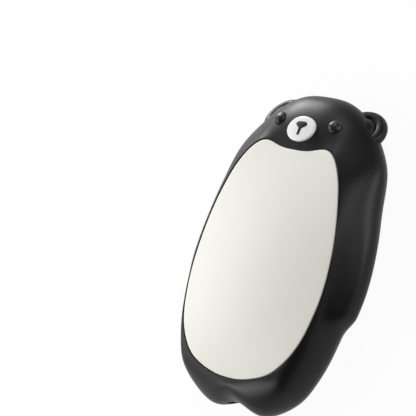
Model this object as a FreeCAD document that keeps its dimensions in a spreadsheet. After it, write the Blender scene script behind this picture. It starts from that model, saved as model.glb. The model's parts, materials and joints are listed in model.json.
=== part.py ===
"""Bear-shaped rechargeable hand warmer, lying on its flat back. Millimetres.

+Z is the belly side, +Y the head and +X the viewer's right. The origin is on the flat back, below the
middle of the body's length and width.
"""
import FreeCAD
import Part
import Sketcher
import math
import os

Vector = FreeCAD.Vector
UP = Vector(0, 0, 1)

SIZES = {
    # body, with heights counted from the flat back, and lengths from the soles of the feet or from
    # the top of the head
    "body_length": 99.5,
    "body_width": 63.0,
    "widest_height": 6.0,
    "back_round": 6.0,
    "wall": 1.8,
    "arm_rise": 2.55,
    # belly opening and warming plate
    "belly_from_feet": 8.25,
    "belly_from_top": 19.25,
    "belly_side": 5.4,
    "rim_height": 15.9,
    "rim_land": 0.35,
    "belly_crown": 2.4,
    "plate_thickness": 1.2,
    "plate_gap": 0.15,
    "gasket_thickness": 0.3,
    "ledge_width": 2.4,
    "ledge_thickness": 1.3,
    "bond_gap": 0.02,
    # ears
    "ear_radius": 7.3,
    "ear_round": 2.0,
    "ear_dish": 1.3,
    "ear_pad_radius": 4.0,
    "ear_pad_rise": 2.6,
    "ear_spacing": 32.0,
    "ear_from_top": 8.5,
    "ear_height": 5.8,
    "ear_tilt_degrees": 30.0,
    "ear_turn_degrees": 68.0,
    # eyes
    "eye_diameter": 4.4,
    "eye_dome": 1.3,
    "eye_spacing": 21.9,
    "eye_from_top": 10.15,
    "eye_seat": 0.6,
    "eye_gap": 0.05,
    "eye_stem_diameter": 1.8,
    "eye_stem_length": 2.4,
    # muzzle, which is the power button
    "muzzle_width": 10.5,
    "muzzle_length": 8.3,
    "muzzle_from_top": 12.75,
    "muzzle_proud": 0.8,
    "muzzle_dome_radius": 40.0,
    "muzzle_gap": 0.2,
    "flange_width": 1.2,
    "flange_thickness": 1.0,
    "flange_gap": 0.15,
    "button_seat_height": 12.4,
    "button_seat_width": 0.9,
    "button_clearance": 0.05,
    "nose_width": 4.2,
    "nose_length": 2.1,
    "nose_rise": 1.25,
    "mouth_width": 0.9,
    "mouth_length": 3.2,
    "inlay_depth": 0.5,
    "inlay_proud": 0.16,
    "inlay_gap": 0.03,
    # rear cover and its screws
    "cover_thickness": 2.6,
    "cover_inset": 2.8,
    "cover_gap": 0.15,
    "cover_seat": 1.0,
    "boss_radius": 2.4,
    "boss_top": 10.4,
    "boss_side": 8.9,
    "boss_from_top": 36.55,
    "boss_from_feet": 32.95,
    "rib_width": 1.6,
    "screw_head_radius": 1.8,
    "screw_head_height": 1.2,
    "screw_recess": 0.2,
    "screw_radius": 1.0,
    "screw_length": 6.0,
    "screw_clearance": 0.15,
    # magnets
    "magnet_radius": 4.0,
    "magnet_thickness": 1.6,
    "magnet_side": 20.5,
    "magnet_from_top": 24.55,
    "magnet_from_feet": 24.95,
    "magnet_gap": 0.05,
    # heater stack
    "film_thickness": 0.3,
    "film_inset": 3.2,
    "foam_inset": 4.2,
    "foam_side": 7.1,
    "foam_end": 6.0,
    "foam_lead_gap": 0.3377,
    "foam_gap": 0.1,
    "thermistor_length": 3.0,
    "thermistor_width": 1.8,
    "thermistor_height": 0.9,
    "thermistor_gap": 0.2,
    # battery
    "battery_from_feet": 21.35,
    "battery_from_top": 28.15,
    "battery_side_gap": 2.2,
    "battery_thickness": 6.0,
    "battery_edge_round": 1.5,
    "battery_pad_thickness": 0.8,
    "battery_pad_inset": 3.0,
    "battery_board_width": 26.0,
    "battery_board_length": 1.6,
    "battery_board_height": 4.0,
    # main board, at the feet
    "board_thickness": 1.0,
    "main_board_width": 25.0,
    "main_board_length": 11.0,
    "main_board_setback": 4.04,
    "main_board_lift": 0.4,
    "main_screw_spacing": 20.0,
    "main_screw_edge": 2.6,
    "post_radius": 2.0,
    "board_screw_head_radius": 1.3,
    "board_screw_head_height": 0.7,
    "board_screw_radius": 0.7,
    "board_screw_length": 2.4,
    "board_screw_clearance": 0.1,
    "board_corner": 1.0,
    # charging socket
    "socket_width": 8.94,
    "socket_height": 3.16,
    "socket_depth": 7.35,
    "socket_corner": 1.4,
    "socket_wall": 0.25,
    "socket_floor": 1.2,
    "socket_recess": 0.3,
    "socket_gap": 0.15,
    "tongue_width": 6.7,
    "tongue_thickness": 0.7,
    "tongue_reach": 4.6,
    "tongue_gap": 0.02,
    # small parts on the main board
    "chip_side": 4.0,
    "chip_height": 0.9,
    "chip_offset": 7.6,
    "chip_from_edge": 4.6,
    "inductor_side": 4.2,
    "inductor_height": 2.2,
    "inductor_round": 0.6,
    "capacitor_length": 1.6,
    "capacitor_width": 0.8,
    "capacitor_height": 0.8,
    "capacitor_pitch": 1.6,
    "capacitor_offset": 5.0,
    "capacitor_from_edge": 8.2,
    "lead_socket_width": 6.0,
    "lead_socket_length": 3.6,
    "lead_socket_height": 2.8,
    "lead_socket_from_edge": 2.0,
    # button board, in the head
    "button_board_width": 24.0,
    "button_board_length": 8.0,
    "button_board_gap": 0.3,
    "button_post_radius": 1.8,
    "button_post_spacing": 19.6,
    "button_post_setback": 2.4,
    "switch_side": 5.0,
    "switch_height": 1.6,
    "plunger_radius": 1.2,
    "plunger_inside": 0.5,
    "plunger_gap": 0.06,
    "press_travel": 0.4,
    "press_margin": 0.1,
    "led_length": 1.6,
    "led_width": 0.8,
    "led_height": 0.6,
    "led_spacing": 8.4,
    # leads
    "lead_diameter": 1.0,
    "battery_lead_spacing": 2.0,
    "battery_lead_height": 1.4,
    "heater_lead_gap": 0.5,
    "heater_lead_from_edge": 3.6,
    "lead_gap": 0.2,
    "cable_diameter": 1.2,
    "cable_side_gap": 0.7,
    "cable_end_gap": 1.0,
    "cable_height": 5.6,
    "cable_bend": 4.0,
    "cable_drop_bend": 1.4,
    "cable_start_offset": 5.0,
    "cable_start_setback": 2.4,
    "cable_end_offset": 10.8,
    "cable_end_from_edge": 1.4,
    # how far cutters run past what they cut
    "overrun": 2.0,
}

# Stations run up the right side, from the notch between the feet to the top of the head. Each has a
# point of the belly's edge, a point of the widest outline below it, and how round the slope between
# the two is: 0 is a plain bevel, 1 a quarter ellipse.
BELLY_SHARES = [
    (0, 0), (0.253, 0.009), (0.547, 0.046), (0.713, 0.096), (0.816, 0.147), (0.914, 0.229),
    (0.977, 0.342), (1, 0.45), (0.983, 0.583), (0.929, 0.708), (0.856, 0.8125), (0.764, 0.904),
    (0.626, 0.983), (0.448, 1.019), (0.23, 1.002), (0, 0.996),
]
BODY_SHARES = [
    (0, 0.0198), (0.257, 0), (0.495, 0.0233), (0.667, 0.0689), (0.767, 0.1234), (0.857, 0.2038),
    (0.924, 0.3089), (0.976, 0.4081), (1, 0.5202), (0.987, 0.6254), (0.942, 0.7112), (0.881, 0.8069),
    (0.722, 0.8882), (0.528, 0.9492), (0.268, 0.9914), (0, 1),
]
ROUNDNESS_SHARES = [0.9, 0.5, 0.55, 1, 0.85, 0.6, 0.3, 0.15, 0.1, 0.15, 0.2, 0.1, -0.08, 0.33, 0.85, 1]
LAST_STATION = len(BODY_SHARES) - 1
STEPS_PER_STATION = 5
MIRRORED_STATIONS = 3
# Handles of the slope's curve, on a plain bevel and on a quarter ellipse, as shares of its run and fall
OUT_HANDLE_SHARES = (0.33, 0.55)
DOWN_HANDLE_SHARES = (0.25, 0)
FALL_HANDLE_SHARES = (0.7, 0.45)
BEVEL_SHARES = [0, 0.08, 0.2, 0.35, 0.5, 0.65, 0.8, 0.92, 1]
BACK_TURN_SHARES = [0.17, 0.34, 0.5, 0.67, 0.84, 1]
# The arm swells from the hand's end, holds, and dies away into the shoulder. Across the slope it
# starts below the belly's edge and ends behind the widest line.
HAND_STATIONS = (5.8, 6.55)
SHOULDER_STATIONS = (6.9, 9.6)
ARM_FRONT_SHARES = (0.2, 0.75)
ARM_BACK_SHARES = (1.1, 1.9)
PATCH_REACH_SHARE = 1.2
# Largest sine of the angle between edges that count as parallel, and largest error of a lead's volume
PARALLEL_SHARE = 1e-6
VOLUME_ERROR_SHARE = 0.01

doc = FreeCAD.newDocument("hand_warmer")
sheet = doc.addObject("Spreadsheet::Sheet", "sizes")
for row, (alias, number) in enumerate(SIZES.items(), start=1):
    sheet.set(f"A{row}", alias)
    sheet.set(f"B{row}", str(number))
    sheet.setAlias(f"B{row}", alias)
doc.recompute()


def value(expression):
    """The number that an expression on the sheet gives."""
    return float(sheet.evalExpression(expression))


def size(alias):
    """One driving dimension."""
    return float(getattr(sheet, alias))


def from_feet(alias):
    """Expression for the Y of a place that is measured from the soles of the feet."""
    return f"(sizes.{alias} - sizes.body_length / 2)"


def from_top(alias):
    """Expression for the Y of a place that is measured from the top of the head."""
    return f"(sizes.body_length / 2 - sizes.{alias})"


# Places and heights of the stacks, as expressions on the sheet
BELLY_LENGTH = "(sizes.body_length - sizes.belly_from_feet - sizes.belly_from_top)"
BELLY_WIDTH = "(sizes.body_width - 2 * sizes.belly_side)"
BOSS_X = "(sizes.body_width / 2 - sizes.boss_side)"
BOSS_ROWS = {"upper": from_top("boss_from_top"), "lower": from_feet("boss_from_feet")}
MAGNET_X = "(sizes.body_width / 2 - sizes.magnet_side)"
MAGNET_ROWS = {"upper": from_top("magnet_from_top"), "lower": from_feet("magnet_from_feet")}
BATTERY_LENGTH = "(sizes.body_length - sizes.battery_from_feet - sizes.battery_from_top)"
BATTERY_WIDTH = f"(2 * ({BOSS_X} - sizes.boss_radius - sizes.battery_side_gap))"
COVER_TOP = "sizes.cover_thickness"
BOARD_BASE = f"({COVER_TOP} + sizes.main_board_lift)"
BOARD_TOP = f"({BOARD_BASE} + sizes.board_thickness)"
BATTERY_BASE = f"({COVER_TOP} + sizes.battery_pad_thickness)"
BATTERY_TOP = f"({BATTERY_BASE} + sizes.battery_thickness)"
FLANGE_TOP = "(sizes.button_seat_height - sizes.button_clearance)"
FLANGE_BASE = f"({FLANGE_TOP} - sizes.flange_thickness)"
PLUNGER_TOP = f"({FLANGE_BASE} - sizes.button_clearance)"
PRESS_ROOM = "(sizes.press_travel + sizes.press_margin)"
SWITCH_TOP = f"({PLUNGER_TOP} - {PRESS_ROOM})"
BUTTON_BOARD_TOP = f"({SWITCH_TOP} - sizes.switch_height)"
BUTTON_BOARD_BASE = f"({BUTTON_BOARD_TOP} - sizes.board_thickness)"
MUZZLE_Y = from_top("muzzle_from_top")
BATTERY_Y = f"({from_feet('battery_from_feet')} + {BATTERY_LENGTH} / 2)"
NOTCH_Y = f"({BODY_SHARES[0][1]} * sizes.body_length - sizes.body_length / 2)"
BOARD_FRONT_Y = f"({NOTCH_Y} + sizes.main_board_setback)"
BOARD_BACK_Y = f"({BOARD_FRONT_Y} + sizes.main_board_length)"
HEATER_LEAD_Y = f"({BOARD_BACK_Y} - sizes.heater_lead_from_edge)"
FOAM_FRONT_Y = f"({HEATER_LEAD_Y} + sizes.lead_diameter / 2 + sizes.foam_lead_gap)"
SOCKET_FRONT_Y = f"({NOTCH_Y} + sizes.socket_recess)"
SOCKET_MID_Z = f"({BOARD_TOP} + sizes.socket_height / 2)"


# Objects of the document

def bound(kind, name, **expressions):
    """A primitive whose properties follow the sheet; x, y and z give its place."""
    item = doc.addObject(kind, name)
    for key, expression in expressions.items():
        path = f".Placement.Base.{key}" if key in ("x", "y", "z") else key
        item.setExpression(path, expression)
    return item


def feature(name, shape):
    """A piece whose shape comes from a formula."""
    item = doc.addObject("Part::Feature", name)
    item.Shape = shape
    return item


def fuse(name, shapes):
    """The union of several objects."""
    item = doc.addObject("Part::MultiFuse", name)
    item.Shapes = shapes
    return item


def cut(name, base, tools):
    """An object less the union of the tools."""
    item = doc.addObject("Part::Cut", name)
    item.Base = base
    item.Tool = tools[0] if len(tools) == 1 else fuse(f"{name}_tools", tools)
    return item


def common(name, first, second):
    """What two objects share."""
    item = doc.addObject("Part::Common", name)
    item.Base = first
    item.Tool = second
    return item


def group(label, source, places):
    """Separate copies of one solid under one name."""
    doc.recompute()
    copies = []
    for place in places:
        copy = source.Shape.copy()
        copy.Placement = place.multiply(source.Shape.Placement)
        copies.append(copy)
    return feature(label, Part.Compound(copies))


def sides(*expressions):
    """Left and right copies of a place: x is mirrored, y and z are shared."""
    x, y, z = (value(expression) for expression in expressions)
    return [Vector(-x, y, z), Vector(x, y, z)]


def new_body(label, **place):
    """A body whose place follows the sheet."""
    body = doc.addObject("PartDesign::Body", label)
    for axis, expression in place.items():
        body.setExpression(f".Placement.Base.{axis}", expression)
    return body


def new_sketch(body, role):
    """An empty sketch on one of the body's own planes."""
    sketch = body.newObject("Sketcher::SketchObject", f"{body.Label}_{role[:2].lower()}_sketch")
    plane = next(item for item in body.Origin.OriginFeatures if item.Role == role)
    sketch.AttachmentSupport = [(plane, "")]
    sketch.MapMode = "FlatFace"
    return sketch


def drive(sketch, constraint, expression):
    """Add a dimension that follows the sheet."""
    index = sketch.addConstraint(constraint)
    sketch.setExpression(f"Constraints[{index}]", expression)


def rectangle(sketch, width, height):
    """A rectangle centred on the sketch's origin."""
    half_width = value(width) / 2
    half_height = value(height) / 2
    signs = [(-1, -1), (1, -1), (1, 1), (-1, 1)]
    corners = [Vector(half_width * across, half_height * along, 0) for across, along in signs]
    for start, end in zip(corners, corners[1:] + corners[:1]):
        sketch.addGeometry(Part.LineSegment(start, end))
    for index in range(4):
        sketch.addConstraint(Sketcher.Constraint("Coincident", index, 2, (index + 1) % 4, 1))
    for index, way in enumerate(("Horizontal", "Vertical", "Horizontal", "Vertical")):
        sketch.addConstraint(Sketcher.Constraint(way, index))
    sketch.addConstraint(Sketcher.Constraint("Symmetric", 0, 1, 2, 1, -1, 1))
    drive(sketch, Sketcher.Constraint("DistanceX", 0, 1, 0, 2, half_width * 2), width)
    drive(sketch, Sketcher.Constraint("DistanceY", 1, 1, 1, 2, half_height * 2), height)


def circles(sketch, places, radius):
    """Circles of one radius at places given as pairs of expressions."""
    for across, along in places:
        centre = Vector(value(across), value(along), 0)
        index = sketch.addGeometry(Part.Circle(centre, UP, value(radius)))
        drive(sketch, Sketcher.Constraint("DistanceX", -1, 1, index, 3, centre.x), across)
        drive(sketch, Sketcher.Constraint("DistanceY", -1, 1, index, 3, centre.y), along)
        drive(sketch, Sketcher.Constraint("Radius", index, value(radius)), radius)


def profile(sketch, corners):
    """A closed run of lines through corners given as pairs of expressions."""
    points = [Vector(value(across), value(along), 0) for across, along in corners]
    for start, end in zip(points, points[1:] + points[:1]):
        sketch.addGeometry(Part.LineSegment(start, end))
    for index, (across, along) in enumerate(corners):
        after = (index + 1) % len(corners)
        sketch.addConstraint(Sketcher.Constraint("Coincident", index, 2, after, 1))
        drive(sketch, Sketcher.Constraint("DistanceX", -1, 1, index, 1, points[index].x), across)
        drive(sketch, Sketcher.Constraint("DistanceY", -1, 1, index, 1, points[index].y), along)


def pad(body, sketch, length, reverse=False):
    """Thicken a sketch."""
    item = body.newObject("PartDesign::Pad", f"{sketch.Label}_pad")
    item.Profile = sketch
    item.setExpression("Length", length)
    item.Reversed = reverse
    return item


def pocket(body, sketch, length, reverse=False):
    """Cut a sketch into the body so far, and make sure that it did cut."""
    doc.recompute()
    before = body.Shape.Volume
    item = body.newObject("PartDesign::Pocket", f"{sketch.Label}_pocket")
    item.Profile = sketch
    item.setExpression("Length", length)
    item.Reversed = reverse
    doc.recompute()
    if not item.Shape.Volume < before:
        raise ValueError(f"{item.Label} cuts nothing")
    return item


def revolve(body, sketch):
    """Turn a half profile round the sketch's vertical axis."""
    item = body.newObject("PartDesign::Revolution", f"{sketch.Label}_turned")
    item.Profile = sketch
    item.ReferenceAxis = (sketch, ["V_Axis"])
    item.Angle = 360
    return item


def round_edges(body, base, radius, along):
    """Fillet the straight edges of a feature that run along one direction."""
    doc.recompute()
    names = []
    for index, edge in enumerate(base.Shape.Edges, start=1):
        if edge.Curve.TypeId != "Part::GeomLine":
            continue
        if edge.tangentAt(edge.FirstParameter).cross(along).Length < PARALLEL_SHARE:
            names.append(f"Edge{index}")
    item = body.newObject("PartDesign::Fillet", f"{base.Label}_rounded")
    item.Base = (base, names)
    item.setExpression("Radius", radius)
    return item


# Shape of the body

def smooth(low, high, place):
    """0 below low, 1 above high, with an easy start and end."""
    share = min(max((place - low) / (high - low), 0), 1)
    return share * share * (3 - 2 * share)


def station_curve(shares, half_width, length, start):
    """A smooth curve through the stations, carried past both ends as its own mirror image."""
    points = [Vector(x * half_width, start + y * length, 0) for x, y in shares]
    mirror = [Vector(-point.x, point.y, 0) for point in points]
    before = mirror[MIRRORED_STATIONS:0:-1]
    after = mirror[-2:-2 - MIRRORED_STATIONS:-1]
    curve = Part.BSplineCurve()
    marks = [float(mark) for mark in range(-MIRRORED_STATIONS, LAST_STATION + MIRRORED_STATIONS + 1)]
    curve.interpolate(Points=before + points + after, Parameters=marks)
    return curve


def outward(curve, station):
    """The level direction that points away from the inside of a station curve."""
    tangent = curve.tangent(station)[0]
    return Vector(tangent.y, -tangent.x, 0).normalize()


HALF_LENGTH = size("body_length") / 2
BELLY_BOTTOM = value(from_feet("belly_from_feet"))
HALF_BELLY_WIDTH = value(BELLY_WIDTH) / 2
HALF_BELLY_LENGTH = value(BELLY_LENGTH) / 2
belly_curve = station_curve(BELLY_SHARES, HALF_BELLY_WIDTH, 2 * HALF_BELLY_LENGTH, BELLY_BOTTOM)
body_curve = station_curve(BODY_SHARES, size("body_width") / 2, size("body_length"), -HALF_LENGTH)
roundness_curve = Part.BSplineCurve()
roundness_curve.interpolate(
    Points=[Vector(share, mark, 0) for mark, share in enumerate(ROUNDNESS_SHARES)],
    Parameters=[float(mark) for mark in range(LAST_STATION + 1)])
STATIONS = [step / STEPS_PER_STATION for step in range(LAST_STATION * STEPS_PER_STATION + 1)]


def belly_edge(station, offset):
    """A point of the belly's edge, moved outwards by an offset."""
    return belly_curve.value(station) + outward(belly_curve, station) * offset


def crown_height(place):
    """Height of the belly's crowned surface above the flat back."""
    across = place.x / HALF_BELLY_WIDTH
    along = (place.y - BELLY_BOTTOM) / HALF_BELLY_LENGTH - 1
    return size("rim_height") + size("belly_crown") * (1 - across ** 2) * (1 - along ** 2)


def slope_shares(step, roundness):
    """How far out and how far down a step of the slope is, as shares of its run and its fall."""
    handles = []
    for bevel, ellipse in (OUT_HANDLE_SHARES, DOWN_HANDLE_SHARES, FALL_HANDLE_SHARES):
        handles.append(bevel + (ellipse - bevel) * roundness)
    out_handle, down_handle, fall_handle = handles
    first = 3 * (1 - step) ** 2 * step
    second = 3 * (1 - step) * step ** 2
    third = step ** 3
    return first * out_handle + second + third, first * down_handle + second * fall_handle + third


def arm_share(station, step):
    """How much of the arm's rise a place has."""
    along = smooth(*HAND_STATIONS, station) * (1 - smooth(*SHOULDER_STATIONS, station))
    across = smooth(*ARM_FRONT_SHARES, step) * (1 - smooth(*ARM_BACK_SHARES, step))
    return along * across


def slope_row(step, inset, rim_offset, rim_drop):
    """One row of points on the slope between the belly's edge and the widest line."""
    row = []
    for station in STATIONS:
        rim = belly_edge(station, rim_offset)
        rim.z = crown_height(rim) - rim_drop
        away = outward(body_curve, station)
        widest = body_curve.value(station) - away * inset
        widest.z = size("widest_height")
        out, down = slope_shares(step, roundness_curve.value(station).x)
        point = rim + (widest - rim) * out
        point.z = rim.z + (widest.z - rim.z) * down
        row.append(point + away * size("arm_rise") * arm_share(station, step))
    return row


def back_row(turn, inset, base_round, base_height):
    """One row of points on the round between the widest line and the back."""
    angle = turn * math.pi / 2
    row = []
    for station in STATIONS:
        away = outward(body_curve, station)
        rise = size("arm_rise") * arm_share(station, 1 + turn)
        point = body_curve.value(station) + away * (rise - inset - base_round * (1 - math.cos(angle)))
        point.z = size("widest_height") + (base_height - size("widest_height")) * math.sin(angle)
        row.append(point)
    return row


def row_curve(points):
    """A smooth curve through a row of points, square to the middle plane at both ends."""
    points[0].x = 0
    points[-1].x = 0
    pace = STATIONS[1] - STATIONS[0]
    curve = Part.BSplineCurve()
    curve.interpolate(Points=points, Parameters=STATIONS, Scale=False,
                      InitialTangent=Vector(points[1].x / pace, 0, 0),
                      FinalTangent=Vector(-points[-2].x / pace, 0, 0))
    return curve


def skin(rows):
    """A smooth surface through rows of points that start and end on the middle plane."""
    row_curves = []
    for row in rows:
        row_curves.append(row_curve(row))
    middle = len(STATIONS) // 2
    marks = [0.0]
    for before, after in zip(rows, rows[1:]):
        marks.append(marks[-1] + (after[middle] - before[middle]).Length)
    columns = []
    for poles in zip(*(curve.getPoles() for curve in row_curves)):
        curve = Part.BSplineCurve()
        curve.interpolate(Points=list(poles), Parameters=marks)
        columns.append(curve)
    surface = Part.BSplineSurface()
    surface.buildFromPolesMultsKnots(
        [curve.getPoles() for curve in columns],
        row_curves[0].getMultiplicities(), columns[0].getMultiplicities(),
        row_curves[0].getKnots(), columns[0].getKnots(),
        False, False, row_curves[0].Degree, columns[0].Degree)
    return surface


def bear_block(inset, rim_offset, rim_drop, base_round, base_height, cap_height):
    """The body's outer form, or the hollow in it, as one closed solid.

    The skin runs from the belly's edge out to the widest line and round to a flat base. Inside the
    belly's edge a narrow strip leads to a flat cap.
    """
    rows = [slope_row(step, inset, rim_offset, rim_drop) for step in BEVEL_SHARES]
    rows += [back_row(turn, inset, base_round, base_height) for turn in BACK_TURN_SHARES]
    surface = skin(rows)
    _, _, start, end = surface.bounds()
    right = surface.toShape()
    rim = surface.vIso(start).toShape()
    base = surface.vIso(end).toShape()
    inner = []
    for station in STATIONS:
        point = belly_edge(station, rim_offset - size("ledge_width") / 2)
        point.z = cap_height
        inner.append(point)
    cap = row_curve(inner).toShape()
    strip = Part.makeRuledSurface(rim, cap, 1)
    faces = [right, strip]
    faces += [face.mirror(Vector(0, 0, 0), Vector(1, 0, 0)) for face in (right, strip)]
    for edge in (base, cap):
        faces.append(Part.Face(Part.Wire([edge, edge.mirror(Vector(0, 0, 0), Vector(1, 0, 0))])))
    shell = Part.makeShell(faces)
    shell.sewShape()
    solid = Part.makeSolid(shell)
    if solid.Volume < 0:
        solid.reverse()
    return solid


def outline_prism(curve, offset, base, top):
    """A straight block on a station curve that is moved outwards by an offset."""
    points = []
    for station in STATIONS:
        point = curve.value(station) + outward(curve, station) * offset
        point.z = base
        points.append(point)
    edge = row_curve(points).toShape()
    wire = Part.Wire([edge, edge.mirror(Vector(0, 0, 0), Vector(1, 0, 0))])
    return Part.Face(wire).extrude(UP * (top - base))


def crown_slab(drop, thickness):
    """A crowned sheet over the belly: its top lies a drop below the belly's surface."""
    half_width = HALF_BELLY_WIDTH * PATCH_REACH_SHARE
    half_length = HALF_BELLY_LENGTH * PATCH_REACH_SHARE
    middle = BELLY_BOTTOM + HALF_BELLY_LENGTH
    ends = 1 - PATCH_REACH_SHARE ** 2
    handle = 1 + PATCH_REACH_SHARE ** 2
    shares = [(-1, ends), (0, handle), (1, ends)]
    patch = Part.BezierSurface()
    patch.increase(2, 2)
    for i, (across, rise_across) in enumerate(shares, start=1):
        for j, (along, rise_along) in enumerate(shares, start=1):
            height = size("rim_height") + size("belly_crown") * rise_across * rise_along - drop
            patch.setPole(i, j, Vector(half_width * across, middle + half_length * along, height))
    return patch.toShape().extrude(UP * -thickness)


def belly_sheet(name, drop, thickness, outer_offset, inner_offset=None):
    """A crowned sheet cut to the belly's outline, or to a ring of it."""
    overrun = size("overrun")
    top = size("rim_height") + size("belly_crown") + overrun
    base = size("widest_height")
    slab = feature(f"{name}_slab", crown_slab(drop, thickness))
    form = feature(f"{name}_outline", outline_prism(belly_curve, outer_offset, base, top))
    if inner_offset is None:
        return common(name, slab, form)
    sheet_piece = common(f"{name}_sheet", slab, form)
    hole = feature(f"{name}_hole", outline_prism(belly_curve, inner_offset, base, top))
    return cut(name, sheet_piece, [hole])


RIM_OFFSET = value("sizes.plate_gap + sizes.rim_land")
LEDGE_DROP = value("sizes.plate_thickness + sizes.gasket_thickness + 2 * sizes.bond_gap")
CEILING_DROP = LEDGE_DROP + size("ledge_thickness")
OUTER = bear_block(0, RIM_OFFSET, 0, size("back_round"), 0, size("rim_height"))


def surface_place(x, y):
    """The point of the body's front above a place, and the direction square to the surface there."""
    top = size("rim_height") + size("belly_crown")
    inside = OUTER.common(Part.LineSegment(Vector(x, y, top), Vector(x, y, 0)).toShape())
    point = max((vertex.Point for vertex in inside.Vertexes), key=lambda corner: corner.z)
    face = min(OUTER.Faces, key=lambda item: item.distToShape(Part.Vertex(point))[0])
    normal = face.normalAt(*face.Surface.parameter(point))
    return point, normal if normal.z > 0 else normal * -1


def ears():
    """Two round ears that lean outwards, each with a thick rolled rim round a raised pad."""
    pieces = []
    tilt = math.radians(size("ear_tilt_degrees"))
    turn = math.radians(size("ear_turn_degrees"))
    rolled = "(sizes.ear_radius - sizes.ear_round)"
    for name, sign in (("left", -1), ("right", 1)):
        middle = Vector(sign * size("ear_spacing") / 2, value(from_top("ear_from_top")), size("ear_height"))
        way = Vector(sign * math.cos(turn) * math.sin(tilt), math.sin(turn) * math.sin(tilt), math.cos(tilt))
        place = FreeCAD.Placement(middle, FreeCAD.Rotation(UP, way))
        rim = bound("Part::Torus", f"ear_rim_{name}", Radius1=rolled, Radius2="sizes.ear_round")
        disc = bound("Part::Cylinder", f"ear_disc_{name}", Radius=rolled,
                     Height="2 * sizes.ear_round - sizes.ear_dish")
        cushion = bound("Part::Ellipsoid", f"ear_pad_{name}", Radius1="sizes.ear_pad_rise",
                        Radius2="sizes.ear_pad_radius", Radius3="sizes.ear_pad_radius")
        pieces.append(placed(rim, place, 0))
        pieces.append(placed(disc, place, -size("ear_round")))
        pieces.append(placed(cushion, place, size("ear_round") - size("ear_dish")))
    return pieces


def bosses():
    """Solid islands in the hollow: screw bosses with ribs, button posts and the button's seat."""
    islands = []
    for row, y in BOSS_ROWS.items():
        for name, sign in (("left", -1), ("right", 1)):
            x = f"{sign} * {BOSS_X}"
            islands.append(bound("Part::Cylinder", f"boss_{row}_{name}", Radius="sizes.boss_radius",
                                 Height="sizes.boss_top - sizes.cover_thickness", x=x, y=y, z=COVER_TOP))
            start = x if sign > 0 else "-sizes.body_width / 2"
            islands.append(bound("Part::Box", f"rib_{row}_{name}", Width="sizes.rib_width",
                                 Length="sizes.boss_side",
                                 Height="sizes.boss_top - sizes.cover_thickness",
                                 x=start, y=f"{y} - sizes.rib_width / 2", z=COVER_TOP))
    for name, sign in (("left", -1), ("right", 1)):
        islands.append(bound("Part::Cylinder", f"button_post_{name}", Radius="sizes.button_post_radius",
                             Height=f"sizes.rim_height - {BUTTON_BOARD_TOP}",
                             x=f"{sign} * sizes.button_post_spacing / 2",
                             y=f"{MUZZLE_Y} - sizes.button_post_setback", z=BUTTON_BOARD_TOP))
    islands.append(muzzle_oval("button_seat",
                               "sizes.muzzle_gap + sizes.flange_width + sizes.button_seat_width",
                               "sizes.button_seat_height", "sizes.rim_height - sizes.button_seat_height"))
    return islands


def muzzle_oval(name, margin, base, height):
    """An upright oval block on the muzzle's place, wider than the muzzle by a margin all round."""
    ellipse = bound("Part::Ellipse", f"{name}_edge", MajorRadius=f"sizes.muzzle_width / 2 + {margin}",
                    MinorRadius=f"sizes.muzzle_length / 2 + {margin}", y=MUZZLE_Y, z=base)
    item = doc.addObject("Part::Extrusion", name)
    item.Base = ellipse
    item.DirMode = "Custom"
    item.Dir = UP
    item.Solid = True
    item.setExpression("LengthFwd", height)
    return item


def eye_places():
    """Where the two eyes stand on the face: up is square to the surface."""
    places = {}
    for name, sign in (("left", -1), ("right", 1)):
        point, normal = surface_place(sign * size("eye_spacing") / 2, value(from_top("eye_from_top")))
        places[name] = FreeCAD.Placement(point, FreeCAD.Rotation(UP, normal))
    return places


EYES = eye_places()
FACE_POINT, FACE_NORMAL = surface_place(0, value(MUZZLE_Y))


def placed(item, place, lift):
    """Put an object at a place, lifted along the place's own upward direction."""
    up = place.Rotation.multVec(UP)
    item.Placement = FreeCAD.Placement(place.Base + up * lift, place.Rotation)
    return item


def eye_holes():
    """Seats and stem holes of the eyes."""
    tools = []
    for name, place in EYES.items():
        seat = bound("Part::Cylinder", f"eye_seat_{name}", Radius="sizes.eye_diameter / 2 + sizes.eye_gap",
                     Height="sizes.eye_seat + sizes.overrun")
        tools.append(placed(seat, place, -size("eye_seat")))
        hole = bound("Part::Cylinder", f"eye_hole_{name}",
                     Radius="sizes.eye_stem_diameter / 2 + sizes.eye_gap",
                     Height="sizes.eye_stem_length + sizes.eye_seat + 2 * sizes.overrun")
        tools.append(placed(hole, place, -value("sizes.eye_seat + sizes.eye_stem_length + sizes.overrun")))
    return tools


def pilot_holes():
    """Holes for the threads of the cover screws and of the button board's screws."""
    tools = []
    for row, y in BOSS_ROWS.items():
        for name, sign in (("left", -1), ("right", 1)):
            tools.append(bound("Part::Cylinder", f"pilot_{row}_{name}",
                               Radius="sizes.screw_radius + sizes.screw_clearance / 2",
                               Height="sizes.screw_length + sizes.screw_head_height + sizes.screw_recess",
                               x=f"{sign} * {BOSS_X}", y=y))
    for name, sign in (("left", -1), ("right", 1)):
        tools.append(bound("Part::Cylinder", f"button_pilot_{name}",
                           Radius="sizes.board_screw_radius + sizes.board_screw_clearance / 2",
                           Height="sizes.board_screw_length",
                           x=f"{sign} * sizes.button_post_spacing / 2",
                           y=f"{MUZZLE_Y} - sizes.button_post_setback", z=BUTTON_BOARD_TOP))
    return tools


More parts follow.
